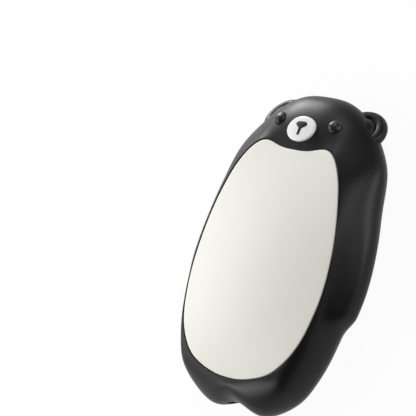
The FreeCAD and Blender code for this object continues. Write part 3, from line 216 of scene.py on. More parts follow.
class FaceSizes(bpy.types.PropertyGroup):
    """Sizes of the ears, the eyes, the muzzle and the nose"""
    ear_radius: length("Ear radius", 7.3, "Radius of an ear")
    ear_round: length("Ear round", 2.0, "Radius of an ear's rolled rim")
    ear_dish: length("Ear dish", 1.3, "Depth of the groove round an ear's raised pad")
    ear_pad_radius: length("Ear pad radius", 4.0, "Radius of the raised pad in an ear")
    ear_pad_rise: length("Ear pad rise", 2.6, "Rise of an ear's pad over the groove")
    ear_spacing: length("Ear spacing", 32.0, "Between the middles of the ears")
    ear_from_top: length("Ear from top", 8.5, "From the top of the head to the middle of an ear")
    ear_height: length("Ear height", 5.8, "Height of an ear's middle above the flat back")
    ear_tilt: angle("Ear tilt", 30.0, "How far an ear leans outwards")
    ear_turn: angle("Ear turn", 68.0, "Which way an ear leans, counted from straight sideways")
    eye_diameter: length("Eye diameter", 4.4, "Diameter of an eye")
    eye_dome: length("Eye dome", 1.3, "Rise of an eye over the face")
    eye_spacing: length("Eye spacing", 21.9, "Between the middles of the eyes")
    eye_from_top: length("Eye from top", 10.15, "From the top of the head to the middle of an eye")
    eye_seat: length("Eye seat", 0.6, "Depth of the seat that an eye sits in")
    eye_gap: length("Eye gap", 0.05, "Gap round an eye in its seat")
    muzzle_width: length("Muzzle width", 10.5, "Width of the muzzle, which is the power button")
    muzzle_length: length("Muzzle length", 8.3, "Length of the muzzle along the body")
    muzzle_from_top: length("Muzzle from top", 12.75, "From the top of the head to the muzzle's middle")
    muzzle_proud: length("Muzzle proud", 0.8, "Rise of the muzzle's middle over the face")
    muzzle_dome: length("Muzzle dome", 40.0, "Radius of the muzzle's domed face")
    muzzle_edge: length("Muzzle edge", 0.45, "Radius of the muzzle's edge")
    muzzle_gap: length("Muzzle gap", 0.2, "Gap between the muzzle and the face")
    flange_width: length("Flange width", 1.2, "How far the muzzle's flange reaches under the face")
    flange_top: length("Flange top", 12.35, "Height of the flange's top above the flat back")
    flange_thickness: length("Flange thickness", 1.0, "Thickness of the muzzle's flange")
    nose_width: length("Nose width", 4.2, "Width of the nose")
    nose_length: length("Nose length", 2.1, "Length of the nose without the mouth's line")
    nose_rise: length("Nose rise", 1.25, "From the muzzle's middle up to the nose")
    inlay_depth: length("Inlay depth", 0.47, "Depth of the nose inlay in the muzzle")
    inlay_proud: length("Inlay proud", 0.16, "Rise of the nose inlay over the muzzle")
    inlay_gap: length("Inlay gap", 0.03, "Gap round the nose inlay")
    inlay_edge: length("Inlay edge", 0.14, "Rounding of the nose inlay's edges")


class SocketSizes(bpy.types.PropertyGroup):
    """Sizes of the charging socket"""
    width: length("Socket width", 8.94, "Width of the charging socket's shell")
    height: length("Socket height", 3.16, "Height of the charging socket's shell")
    depth: length("Socket depth", 7.35, "Depth of the charging socket's shell")
    corner: length("Socket corner", 1.4, "Corner radius of the shell")
    wall: length("Socket wall", 0.25, "Thickness of the shell's sheet")
    slot_reach: length("Slot reach", 3.0, "From the shell's mouth to the front of the slot's cutter")
    lip: length("Socket lip", 0.1, "Rounding of the shell's mouth")
    contact_pitch: length("Contact pitch", 0.5, "Between the contacts on the tongue")
    gap: length("Socket gap", 0.15, "Gap between the shell and the slot in the body")


class ScrewSizes(bpy.types.PropertyGroup):
    """Sizes of the screws in the back"""
    side: length("Screw side", 8.9, "From the widest outline to the middle of a screw")
    from_top: length("Screw from top", 36.55, "From the top of the head to the upper screws")
    from_feet: length("Screw from feet", 32.95, "From the soles to the lower screws")
    recess: length("Screw recess", 0.2, "From the flat back to the head's face")
    head_radius: length("Head radius", 1.8, "Radius of a screw's head")
    head_height: length("Head height", 1.2, "Height of a screw's head")
    head_round: length("Head round", 0.35, "Rounding of the head's rim")
    radius: length("Thread radius", 1.0, "Outer radius of the thread")
    root: length("Thread root", 0.78, "Radius at the root of the thread")
    pitch: length("Thread pitch", 0.6, "Between the turns of the thread")
    length: length("Screw length", 5.85, "From the head to the tip")
    cross_reach: length("Cross reach", 1.05, "From the middle to the end of the cross in the head")
    cross_width: length("Cross width", 0.42, "Width of the cross in the head")
    cross_depth: length("Cross depth", 0.75, "Depth of the cross in the head")


class Colours(bpy.types.PropertyGroup):
    """Colours of the visible finishes"""
    body: tint("Body", "#0e0e0f", "Soft-touch coating of the body")
    plate: tint("Belly plate", "#f1f0e8", "Satin lacquer of the belly plate")
    muzzle: tint("Muzzle", "#f8f8f8", "White cap of the power button")
    gloss: tint("Eyes and nose", "#131314", "Gloss black of the eyes and the nose")
    socket: tint("Socket", "#b9bbbe", "Shell of the charging socket")
    tongue: tint("Tongue", "#161618", "Resin tongue of the socket")
    contacts: tint("Contacts", "#d9b45a", "Contacts on the socket's tongue")
    screws: tint("Rear screws", "#3c3d43", "Plated screws in the back")
    floor: tint("Floor", "#f7f7f7", "Studio floor")


# Curves of the body

def closed_curve(values):
    """Poles of a smooth closed curve that passes through evenly spaced values."""
    ring = np.eye(len(values))
    return np.linalg.solve((np.roll(ring, 1, 0) + 4 * ring + np.roll(ring, -1, 0)) / 6, values)


def curve_values(poles, stations, slope=False):
    """Values of a closed curve at stations, or how fast they change there."""
    first = np.floor(stations).astype(int)
    part = (stations - first)[:, None]
    if slope:
        weights = (-(1 - part) ** 2 / 2, (3 * part ** 2 - 4 * part) / 2,
                   (-3 * part ** 2 + 2 * part + 1) / 2, part ** 2 / 2)
    else:
        weights = ((1 - part) ** 3 / 6, (3 * part ** 3 - 6 * part ** 2 + 4) / 6,
                   (-3 * part ** 3 + 3 * part ** 2 + 3 * part + 1) / 6, part ** 3 / 6)
    return sum(weight * poles[(first + shift) % len(poles)]
               for weight, shift in zip(weights, (-1, 0, 1, 2)))


def smooth(low, high, place):
    """0 below low, 1 above high, with an easy start and end."""
    share = np.clip((place - low) / (high - low), 0, 1)
    return share * share * (3 - 2 * share)


class BearForm:
    """The body's curves, sampled at columns that run once round it, and rows of points on its surface."""

    def __init__(self, sizes, columns):
        self.sizes = sizes
        self.stations = np.arange(columns) * 2 * LAST_STATION / columns
        self.side = np.minimum(self.stations, 2 * LAST_STATION - self.stations)
        self.half_belly_width = sizes.body_width / 2 - sizes.belly_side
        self.half_belly_length = (sizes.body_length - sizes.belly_from_feet - sizes.belly_from_top) / 2
        self.belly_bottom = sizes.belly_from_feet - sizes.body_length / 2
        self.belly, self.belly_out = self.outline(BELLY_SHARES, self.half_belly_width,
                                                  2 * self.half_belly_length, self.belly_bottom)
        self.body, self.body_out = self.outline(BODY_SHARES, sizes.body_width / 2, sizes.body_length,
                                                -sizes.body_length / 2)
        shares = np.array(ROUNDNESS_SHARES + ROUNDNESS_SHARES[-2:0:-1], float)[:, None]
        self.roundness = curve_values(closed_curve(shares), self.stations)[:, 0]

    def outline(self, shares, half_width, full_length, start):
        """Points of a mirrored outline and the level directions that point away from its inside."""
        sides = shares + [(-x, y) for x, y in shares[-2:0:-1]]
        poles = closed_curve(np.array([(x * half_width, start + y * full_length) for x, y in sides]))
        slope = curve_values(poles, self.stations, slope=True)
        away = np.stack([slope[:, 1], -slope[:, 0]], axis=1)
        return curve_values(poles, self.stations), away / np.linalg.norm(away, axis=1)[:, None]

    def crown(self, plan):
        """Height of the belly's crowned surface above the flat back."""
        across = plan[:, 0] / self.half_belly_width
        along = (plan[:, 1] - self.belly_bottom) / self.half_belly_length - 1
        return self.sizes.rim_height + self.sizes.belly_crown * (1 - across ** 2) * (1 - along ** 2)

    def edge_row(self, offset, drop):
        """Points beside the belly's edge, a drop below its surface."""
        plan = self.belly + self.belly_out * offset
        return np.column_stack([plan, self.crown(plan) - drop])

    def body_row(self, offset, height):
        """Points beside the widest outline at one height."""
        return np.column_stack([self.body + self.body_out * offset, np.full(len(self.body), height)])

    def arm(self, step):
        """How far the arms stand out at a step of the slope, or past 1 of the turn to the back."""
        along = smooth(*HAND_STATIONS, self.side) * (1 - smooth(*SHOULDER_STATIONS, self.side))
        across = smooth(*ARM_FRONT_SHARES, step) * (1 - smooth(*ARM_BACK_SHARES, step))
        return self.sizes.arm_rise * along * across

    def slope_row(self, step, inset=0.0, drop=0.0):
        """Points on the slope between the belly's edge and the widest outline."""
        rim = self.edge_row(self.sizes.plate_gap + self.sizes.rim_land, drop)
        widest = self.body_row(-inset, self.sizes.widest_height)
        handles = [bevel + (ellipse - bevel) * self.roundness for bevel, ellipse in
                   (OUT_HANDLE_SHARES, DOWN_HANDLE_SHARES, FALL_HANDLE_SHARES)]
        first, second, third = 3 * (1 - step) ** 2 * step, 3 * (1 - step) * step ** 2, step ** 3
        out = first * handles[0] + second + third
        down = first * handles[1] + second * handles[2] + third
        row = rim + (widest - rim) * np.column_stack([out, out, down])
        row[:, :2] += self.body_out * self.arm(step)[:, None]
        return row

    def turn_row(self, turn, inset, base_round, base_height):
        """Points on the round between the widest outline and the back; turn is 1 at the back."""
        angle = turn * math.pi / 2
        offset = self.arm(1 + turn) - inset - base_round * (1 - np.cos(angle))
        height = self.sizes.widest_height + (base_height - self.sizes.widest_height) * np.sin(angle)
        return np.column_stack([self.body + self.body_out * offset[:, None],
                                np.broadcast_to(height, len(self.body))])

    def seam_turn(self, inset):
        """How far the turn to the back has come where it reaches an inset from the widest outline."""
        low, high = np.zeros(len(self.body)), np.ones(len(self.body))
        for _ in range(SEAM_HALVINGS):
            middle = (low + high) / 2
            offset = self.arm(1 + middle) - self.sizes.back_round * (1 - np.cos(middle * math.pi / 2))
            outside = offset > -inset
            low, high = np.where(outside, middle, low), np.where(outside, high, middle)
        return (low + high) / 2

    def outer_rows(self, inset):
        """Rows from the belly's edge over the slope and round the back to an inset."""
        rows = [self.slope_row(step) for step in np.linspace(0, 1, SLOPE_ROWS)]
        end = self.seam_turn(inset)
        return rows + [self.turn_row(share * end, 0, self.sizes.back_round, 0)
                       for share in np.linspace(0, 1, TURN_ROWS)[1:]]

    def hollow_rows(self, inset, floor_inset):
        """Rows of the hollow's wall, from its floor up to the underside of the belly's ledge."""
        sizes = self.sizes
        rows = [self.turn_row(turn, inset, floor_inset - inset, sizes.cover_thickness)
                for turn in HOLLOW_TURN_SHARES]
        return rows + [self.slope_row(step, inset, sizes.ceiling_drop)
                       for step in HOLLOW_SLOPE_SHARES]


def on_face(form, x, y):
    """The point of the body's front above a place, and the direction square to the surface there."""
    bm = skin(form.outer_rows(form.sizes.cover_inset), closed=False)
    point, normal, _, _ = BVHTree.FromBMesh(bm).ray_cast(Vector((x, y, 1)), Vector((0, 0, -1)))
    bm.free()
    if point is None:
        raise ValueError(f"no face at {x}, {y}")
    return point, normal if normal.z > 0 else -normal


def eye_place(form, sizes, face, sign):
    """Matrix that stands an eye square on the face."""
    point, normal = on_face(form, sign * face.eye_spacing / 2, sizes.body_length / 2 - face.eye_from_top)
    return Matrix.Translation(point) @ Vector((0, 0, 1)).rotation_difference(normal).to_matrix().to_4x4()


# Meshes

def skin(rows, closed):
    """A bmesh whose grid lies on rows of points that each run once round; closed joins last and first."""
    rows = np.asarray(rows)
    count, columns = rows.shape[:2]
    spans = count if closed else count - 1
    bm = bmesh.new()
    bmesh.ops.create_grid(bm, x_segments=columns, y_segments=spans, size=1)
    if len(bm.verts) != (columns + 1) * (spans + 1):
        raise ValueError("the grid has another number of segments than asked for")
    for vert in bm.verts:
        column = round((vert.co.x + 1) / 2 * columns) % columns
        row = round((vert.co.y + 1) / 2 * spans) % count
        vert.co = rows[row, column]
    bmesh.ops.remove_doubles(bm, verts=bm.verts, dist=MERGE)
    bmesh.ops.recalc_face_normals(bm, faces=bm.faces)
    return bm


def turned(profile, steps):
    """A closed solid spun about Z from a half profile of radius and height."""
    bm = bmesh.new()
    verts = [bm.verts.new((radius, 0, height)) for radius, height in profile]
    edges = [bm.edges.new(pair) for pair in zip(verts, verts[1:])]
    bmesh.ops.spin(bm, geom=verts + edges, cent=(0, 0, 0), axis=(0, 0, 1), angle=FULL_TURN, steps=steps,
                   use_merge=True)
    bmesh.ops.remove_doubles(bm, verts=bm.verts, dist=MERGE)
    bmesh.ops.recalc_face_normals(bm, faces=bm.faces)
    return bm


def thicken(bm, vec):
    """Makes a flat sheet a closed solid by extruding it along a vector."""
    raised = bmesh.ops.extrude_face_region(bm, geom=list(bm.faces), use_keep_orig=True)
    verts = [item for item in raised["geom"] if isinstance(item, bmesh.types.BMVert)]
    bmesh.ops.translate(bm, vec=vec, verts=verts)
    bmesh.ops.recalc_face_normals(bm, faces=bm.faces)


def block(outline, base, top):
    """An upright block on a closed outline of x and y."""
    bm = bmesh.new()
    bm.faces.new([bm.verts.new((x, y, base)) for x, y in outline])
    thicken(bm, (0, 0, top - base))
    return bm


def rounded_box(width, height, corner, depth):
    """A closed box that runs back along Y, with rounded corners in the XZ plane."""
    bm = bmesh.new()
    corners = [(-1, -1), (1, -1), (1, 1), (-1, 1)]
    bm.faces.new([bm.verts.new((x * width / 2, 0, z * height / 2)) for x, z in corners])
    bmesh.ops.bevel(bm, geom=list(bm.verts), offset=corner, offset_type="OFFSET", affect="VERTICES",
                    segments=10, profile=0.5, material=-1)
    thicken(bm, (0, depth, 0))
    return bm


def oval(half_width, half_length, steps=OVAL_STEPS):
    """Outline of an oval round the origin."""
    turns = [FULL_TURN * step / steps for step in range(steps)]
    return [(half_width * math.cos(turn), half_length * math.sin(turn)) for turn in turns]


def arc(radius, height, size_across, size_up, start, end, steps):
    """Points of an arc of an oval, between two angles in degrees, round a radius and a height."""
    angles = np.radians(np.linspace(start, end, steps))
    return [(radius + size_across * math.cos(turn), height + size_up * math.sin(turn)) for turn in angles]


def add_to(bm, other, matrix=Matrix.Identity(4)):
    """Adds a moved copy of another bmesh."""
    mesh = bpy.data.meshes.new("loose")
    other.to_mesh(mesh)
    mesh.transform(matrix)
    bm.from_mesh(mesh)
    bpy.data.meshes.remove(mesh)


def break_edges(bm, offset, least_angle, segments=2):
    """Rounds every edge that turns by more than an angle in degrees."""
    sharp = [edge for edge in bm.edges if len(edge.link_faces) == 2
             and edge.calc_face_angle() > math.radians(least_angle)]
    bmesh.ops.bevel(bm, geom=sharp, offset=offset, offset_type="OFFSET", affect="EDGES", segments=segments,
                    profile=0.5, material=-1, clamp_overlap=True)


def new_object(name, bm):
    """An object at the origin with the bmesh as its mesh."""
    mesh = bpy.data.meshes.new(name)
    bm.to_mesh(mesh)
    bm.free()
    item = bpy.data.objects.new(name, mesh)
    bpy.context.scene.collection.objects.link(item)
    return item


def taken_mesh(item):
    """A bmesh of an object that is then no longer needed."""
    bm = bmesh.new()
    bm.from_mesh(item.data)
    bpy.data.meshes.remove(item.data)
    return bm


def carve(piece, bm, operation):
    """Unites a piece with a bmesh, or cuts the bmesh out of it."""
    tool = new_object("tool", bm)
    modifier = piece.modifiers.new("carve", "BOOLEAN")
    modifier.operation = operation
    modifier.solver = "EXACT"
    modifier.object = tool
    carved = piece.evaluated_get(bpy.context.evaluated_depsgraph_get())
    mesh = bpy.data.meshes.new_from_object(carved)
    clean = bmesh.new()
    clean.from_mesh(mesh)
    bmesh.ops.dissolve_degenerate(clean, dist=MERGE, edges=clean.edges)
    clean.to_mesh(mesh)
    clean.free()
    piece.modifiers.clear()
    piece.data, old = mesh, piece.data
    bpy.data.meshes.remove(old)
    bpy.data.meshes.remove(tool.data)
    if not mesh.polygons:
        raise ValueError(f"nothing is left of {piece.name}")


def show(piece, material, body, nodes, sharp_angle=32):
    """Shades a piece smooth up to an angle, paints it, ties it to its body and hides the CAD nodes that it
    stands for.
    """
    piece.data.materials.clear()
    piece.data.materials.append(material)
    piece.data.shade_smooth()
    piece.data.set_sharp_from_angle(angle=math.radians(sharp_angle))
    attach(piece, body)
    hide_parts(*nodes)


def merged_copy(node):
    """A bmesh of a CAD node with its loose triangles joined."""
    bm = bmesh.new()
    bm.from_mesh(frame["nodes"][node].data)
    bmesh.ops.remove_doubles(bm, verts=bm.verts, dist=MERGE)
    return bm


# Materials

def add_node(tree, kind, sockets, **settings):
    """Adds a node, gives it its settings, and fills its sockets with values or with links."""
    node = tree.nodes.new(kind)
    for key, setting in settings.items():
        setattr(node, key, setting)
    for key, source in sockets.items():
        if isinstance(source, bpy.types.NodeSocket):
            tree.links.new(source, node.inputs[key])
        else:
            node.inputs[key].default_value = source
    return node


def finish(name, colour, other, grain, roughness, bump, **shader):
    """A finish whose colour, roughness and height drift with a grain.

    Grain is a size in millimetres, and bump is a strength and a depth in millimetres.
    """
    material = bpy.data.materials.new(name)
    material.use_nodes = True
    tree = material.node_tree
    tree.nodes.clear()
    place = add_node(tree, "ShaderNodeTexCoord", {}).outputs["Object"]
    fine = add_node(tree, "ShaderNodeTexNoise", {"Vector": place, "Scale": 1 / (grain * MM), "Detail": 3.0,
                                                 "Roughness": 0.6})
    broad = add_node(tree, "ShaderNodeTexNoise", {"Vector": place, "Scale": 1 / (BROAD_DRIFT * MM),
                                                  "Detail": 2.0})
    drift = add_node(tree, "ShaderNodeMix", {0: broad.outputs["Fac"], 6: colour, 7: other},
                     data_type="RGBA")
    gloss = add_node(tree, "ShaderNodeMapRange", {"Value": fine.outputs["Fac"], "To Min": roughness[0],
                                                  "To Max": roughness[1]})
    height = add_node(tree, "ShaderNodeBump", {"Height": fine.outputs["Fac"], "Strength": bump[0],
                                               "Distance": bump[1] * MM})
    sockets = {"Base Color": drift.outputs[2], "Roughness": gloss.outputs["Result"],
               "Normal": height.outputs["Normal"]}
    sockets.update(shader)
    surface = add_node(tree, "ShaderNodeBsdfPrincipled", sockets)
    add_node(tree, "ShaderNodeOutputMaterial", {"Surface": surface.outputs["BSDF"]})
    return material


def soft_touch(colour):
    """Soft-touch coating sprayed on moulded ABS: near black, with a velvety, wide highlight."""
    lighter = [share * COATING_DRIFT_SHARE for share in colour[:3]] + [1]
    return finish("soft_touch_coating", colour, lighter, grain=0.35, roughness=(0.36, 0.44),
                  bump=(0.12, 0.02), **{"IOR": 1.48, "Specular IOR Level": 0.24})


def satin_lacquer(colour):
    """Satin lacquer on pressed aluminium: ivory, with a soft reflection and a very fine orange peel."""
    return finish("satin_lacquer_on_aluminium", colour, linear("#efeee4"), grain=0.9,
                  roughness=(0.3, 0.36), bump=(0.06, 0.012), **{"IOR": 1.5, "Specular IOR Level": 0.4})


def white_cap(colour):
    """Moulded white polycarbonate: clean, and a little glossier than the plate."""
    return finish("white_polycarbonate", colour, linear("#f0f0ef"), grain=0.6, roughness=(0.24, 0.3),
                  bump=(0.05, 0.01),
                  **{"IOR": 1.58, "Subsurface Weight": 0.06, "Subsurface Scale": 0.5 * MM})


def gloss_black(colour):
    """Moulded black ABS: deep, a little smoother than the coating, with one soft highlight."""
    return finish("moulded_black_abs", colour, linear("#1b1b1c"), grain=0.5, roughness=(0.36, 0.42),
                  bump=(0.05, 0.01), **{"IOR": 1.52, "Specular IOR Level": 0.4})


def tin_plate(colour):
    """Tin-plated deep-drawn steel: bright grey, with fine marks of the drawing."""
    return finish("tin_plated_steel", colour, linear("#a9abae"), grain=0.25, roughness=(0.24, 0.38),
                  bump=(0.1, 0.01), Metallic=1.0)


def zinc_plate(colour):
    """Blackened zinc plate on steel screws: dark, with a soft metal glint."""
    return finish("blackened_zinc_plate", colour, linear("#33343a"), grain=0.2, roughness=(0.3, 0.45),
                  bump=(0.12, 0.01), Metallic=1.0)


def contact_resin(colour, gold, pitch):
    """Moulded resin with gilded contacts: dull black, with bright narrow bars on its flat faces."""
    material = finish("resin_with_gilded_contacts", colour, linear("#202022"), grain=0.3,
                      roughness=(0.45, 0.55), bump=(0.1, 0.01))
    tree = material.node_tree
    surface = next(node for node in tree.nodes if node.type == "BSDF_PRINCIPLED")
    place = add_node(tree, "ShaderNodeTexCoord", {}).outputs["Object"]
    across = add_node(tree, "ShaderNodeSeparateXYZ", {0: place}).outputs["X"]
    turns = add_node(tree, "ShaderNodeMath", {0: across, 1: pitch}, operation="DIVIDE").outputs[0]
    part = add_node(tree, "ShaderNodeMath", {0: turns}, operation="FRACT").outputs[0]
    stripe = add_node(tree, "ShaderNodeMath", {0: part, 1: CONTACT_SHARE}, operation="LESS_THAN").outputs[0]
    facing = add_node(tree, "ShaderNodeNewGeometry", {}).outputs["True Normal"]
    rise = add_node(tree, "ShaderNodeSeparateXYZ", {0: facing}).outputs["Z"]
    steep = add_node(tree, "ShaderNodeMath", {0: rise}, operation="ABSOLUTE").outputs[0]
    flat = add_node(tree, "ShaderNodeMath", {0: steep, 1: CONTACT_FACE_SHARE},
                    operation="GREATER_THAN").outputs[0]
    bar = add_node(tree, "ShaderNodeMath", {0: stripe, 1: flat}, operation="MULTIPLY").outputs[0]
    paint = surface.inputs["Base Color"].links[0].from_socket
    shown = add_node(tree, "ShaderNodeMix", {0: bar, 6: paint, 7: gold}, data_type="RGBA").outputs[2]
    tree.links.new(shown, surface.inputs["Base Color"])
    tree.links.new(bar, surface.inputs["Metallic"])
    return material


# Finishes of the pieces inside, by the record's slots: the real material, its two colours, the size of
# its grain in millimetres, its roughness, its bump's strength and depth, and the rest of its shader
INNER_FINISHES = {
    # dull grey skin with fine cells
    "gasket_grey": ("silicone_sponge", "#6f7173", "#5f6163", 0.4, (0.6, 0.75), (0.3, 0.05), {"IOR": 1.41}),
    # warm amber with a satin face and a faint mottle
    "amber_film": ("polyimide_film", "#b96a1d", "#a35a14", 1.2, (0.25, 0.4), (0.1, 0.02), {"IOR": 1.7}),
    # chalky white with open pores
    "foam_white": ("melamine_foam", "#ecebe6", "#d9d8d2", 0.7, (0.85, 0.95), (0.6, 0.2), {"IOR": 1.3}),
    # soft silver with shallow wrinkles
    "pouch_silver": ("laminated_pouch_foil", "#bcbfc3", "#a9adb2", 3.0, (0.3, 0.42), (0.2, 0.08),
                     {"Metallic": 0.85}),
    # grey foam under a smooth skin
    "pad_grey": ("polyurethane_foam_tape", "#55585b", "#494c4f", 0.5, (0.7, 0.85), (0.4, 0.08),
                 {"IOR": 1.4}),
    # green lacquer that shows the weave below it
    "board_green": ("solder_mask_on_glass_epoxy", "#1d5c35", "#164a2a", 0.5, (0.32, 0.48), (0.15, 0.02),
                    {"IOR": 1.55}),
    # dull black with a sandy moulded face
    "black_resin": ("moulded_epoxy", "#1c1c1e", "#262628", 0.2, (0.5, 0.62), (0.2, 0.02), {"IOR": 1.55}),
    # dark grey with a fired, gritty face
    "ferrite": ("sintered_ferrite", "#3b3b3e", "#2d2d30", 0.25, (0.55, 0.7), (0.3, 0.03), {"IOR": 2.3}),
    # tan with a smooth fired face
    "ceramic_tan": ("titanate_ceramic", "#b59a72", "#a3885f", 0.2, (0.4, 0.5), (0.1, 0.01), {"IOR": 2.0}),
    # milky white with a waxy shine
    "nylon_white": ("moulded_nylon", "#eeece4", "#e2dfd4", 0.3, (0.38, 0.48), (0.1, 0.02),
                    {"IOR": 1.53, "Subsurface Weight": 0.1, "Subsurface Scale": 0.4 * MM}),
    # clear with a yellowish core
    "lamp_clear": ("cast_clear_epoxy", "#e6e4d2", "#dcd9c2", 0.4, (0.1, 0.18), (0.05, 0.01),
                   {"IOR": 1.54, "Transmission Weight": 0.6}),
    # bright, slightly warm mirror with hairline scratches
    "magnet_nickel": ("nickel_plated_magnet", "#c9c5bb", "#bdb8ad", 0.3, (0.16, 0.28), (0.08, 0.01),
                      {"Metallic": 1.0}),
    # pale metal with a soft bluish cast
    "screw_steel": ("zinc_plated_steel", "#b4b8bd", "#a2a7ad", 0.25, (0.28, 0.42), (0.1, 0.01),
                    {"Metallic": 1.0}),
}
# rubbery insulation with a dusty bloom, in three colours
for lead, own, worn in (("red", "#a8221c", "#951c17"), ("black", "#1d1d1f", "#252527"),
                        ("white", "#e4e3df", "#d6d5d0")):
    INNER_FINISHES[f"lead_{lead}"] = (f"{lead}_silicone_insulation", own, worn, 0.3, (0.5, 0.62),
                                      (0.15, 0.02), {"IOR": 1.41})


def paint_node(name, material):
    """Paints one CAD node, whose mesh stays as it is."""
    for holder in frame["nodes"][name].material_slots:
        holder.material = material


def paint_inside(names):
    """Paints CAD nodes that stay as they are with the finishes of their slots."""
    slots = {row["node"]: row["material_slot"] for row in frame["record"]["subparts"]}
    for name in names:
        title, colour, other, grain, roughness, bump, shader = INNER_FINISHES[slots[name]]
        material = bpy.data.materials.get(title) or finish(title, linear(colour), linear(other), grain,
                                                           roughness, bump, **shader)
        paint_node(name, material)


# Operators

class WARMER_OT_body(bpy.types.Operator):
    """Body with ears, arms and feet, hollow, with the belly, the face and the slot opened"""
    bl_idname = "warmer.body"
    bl_label = "Body"

    def execute(self, context):
        sizes = context.scene.warmer_body
        face = context.scene.warmer_face
        form = BearForm(sizes, BODY_COLUMNS)
        rows = form.outer_rows(sizes.cover_inset)
        rows.append(form.body_row(-sizes.cover_inset, sizes.cover_thickness))
        floor_inset = sizes.cover_inset + sizes.cover_seat
        rows += form.hollow_rows(sizes.wall, floor_inset)
        inner = form.edge_row(-sizes.ledge_width, 0)
        inner[:, 2] = sizes.rim_height - sizes.ceiling_drop
        rows.append(inner)
        rows.append(form.edge_row(-sizes.ledge_width, sizes.ledge_drop))
        rows.append(form.edge_row(sizes.plate_gap, sizes.ledge_drop))
        rows.append(form.edge_row(sizes.plate_gap, 0))
        bm = skin(rows, closed=True)
        break_edges(bm, sizes.edge_break, least_angle=40)
        piece = new_object("coated_body", bm)
        carve(piece, self.ears(form, sizes, face), "UNION")
        carve(piece, self.openings(context, form, sizes, face), "DIFFERENCE")
        show(piece, soft_touch(context.scene.warmer_colours.body), "housing",
             ["body_shell"])
        return {"FINISHED"}

    def ears(self, form, sizes, face):
        """Two ears with rolled rims round a raised pad, less what lies inside the body's wall."""
        rolled = face.ear_radius - face.ear_round
        base = face.ear_round - face.ear_dish
        rim = [(x, z) for x, z in arc(rolled, 0, face.ear_round, face.ear_round, -90, 180, steps=90)
               if math.hypot(x / face.ear_pad_radius, (z - base) / face.ear_pad_rise) > 1]
        pad = [(x, z) for x, z in arc(0, base, face.ear_pad_radius, face.ear_pad_rise, 0, 90, steps=45)
               if math.hypot(x - rolled, z) > face.ear_round]
        ear = turned([(0, -face.ear_round)] + rim + pad, EAR_STEPS)
        pair = bmesh.new()
        for sign in (-1, 1):
            way = Vector((sign * math.cos(face.ear_turn) * math.sin(face.ear_tilt),
                          math.sin(face.ear_turn) * math.sin(face.ear_tilt), math.cos(face.ear_tilt)))
            place = Matrix.Translation((sign * face.ear_spacing / 2,
                                        sizes.body_length / 2 - face.ear_from_top, face.ear_height))
            add_to(pair, ear, place @ Vector((0, 0, 1)).rotation_difference(way).to_matrix().to_4x4())
        ear.free()
        ears = new_object("ears", pair)
        seam = EAR_ROOT_SEAT - sizes.cover_inset
        core = [form.body_row(seam, -sizes.cover_thickness),
                form.body_row(seam, sizes.cover_thickness + EAR_ROOT_SEAT)]
        core += form.hollow_rows(sizes.wall - EAR_ROOT_WALL, sizes.cover_seat - seam)
        core = [np.broadcast_to(core[0].mean(0), core[0].shape)] + core
        core.append(np.broadcast_to(core[-1].mean(0), core[0].shape))
        carve(ears, skin(core, closed=False), "DIFFERENCE")
        return taken_mesh(ears)

    def openings(self, context, form, sizes, face):
        """Cutters of the muzzle's hole, the eyes' seats and the charging slot."""
        tools = bmesh.new()
        top = sizes.rim_height + sizes.belly_crown
        muzzle_y = sizes.body_length / 2 - face.muzzle_from_top
        hole = block(oval(face.muzzle_width / 2 + face.muzzle_gap,
                          face.muzzle_length / 2 + face.muzzle_gap), face.flange_top, top)
        add_to(tools, hole, Matrix.Translation((0, muzzle_y, 0)))
        hole.free()
        radius = face.eye_diameter / 2 + face.eye_gap
        seat = block(oval(radius, radius, EYE_STEPS), -face.eye_seat, face.eye_dome)
        for sign in (-1, 1):
            add_to(tools, seat, eye_place(form, sizes, face, sign))
        seat.free()
        socket = context.scene.warmer_socket
        low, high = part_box("usb_shell")
        slot = rounded_box(socket.width + 2 * socket.gap, socket.height + 2 * socket.gap,
                           socket.corner + socket.gap, socket.depth)
        add_to(tools, slot, Matrix.Translation((0, low.y - socket.slot_reach, (low.z + high.z) / 2)))
        slot.free()
        return tools


class WARMER_OT_cover(bpy.types.Operator):
    """Rear cover with its rounded edge, screw sinks and magnet pockets"""
    bl_idname = "warmer.cover"
    bl_label = "Rear cover"

    def execute(self, context):
        piece = new_object("coated_back", merged_copy("rear_cover"))
        show(piece, soft_touch(context.scene.warmer_colours.body), "housing",
             ["rear_cover"])
        even = piece.modifiers.new("even flats", "WEIGHTED_NORMAL")
        even.keep_sharp = True
        return {"FINISHED"}


class WARMER_OT_plate(bpy.types.Operator):
    """Crowned belly plate with a rounded edge"""
    bl_idname = "warmer.plate"
    bl_label = "Belly plate"

    def execute(self, context):
        sizes = context.scene.warmer_body
        form = BearForm(sizes, PLATE_COLUMNS)
        rows = []
        middle = np.array([0, form.belly_bottom + form.half_belly_length])
        edge = sizes.plate_edge
        inner = form.belly - form.belly_out * edge
        for share in np.linspace(0, 1, PLATE_ROWS):
            plan = middle + (inner - middle) * share
            rows.append(np.column_stack([plan, form.crown(plan)]))
        for angle in np.radians(np.linspace(0, 90, PLATE_EDGE_ROWS)[1:]):
            rows.append(form.edge_row(edge * (math.sin(angle) - 1), edge * (1 - math.cos(angle))))
        rows.append(form.edge_row(0, sizes.plate_thickness))
        for share in np.linspace(1, 0, UNDERSIDE_ROWS)[1:]:
            plan = middle + (form.belly - middle) * share
            rows.append(np.column_stack([plan, form.crown(plan) - sizes.plate_thickness]))
        piece = new_object("lacquered_plate", skin(rows, closed=False))
        show(piece, satin_lacquer(context.scene.warmer_colours.plate), "housing",
             ["belly_plate"], sharp_angle=50)
        return {"FINISHED"}


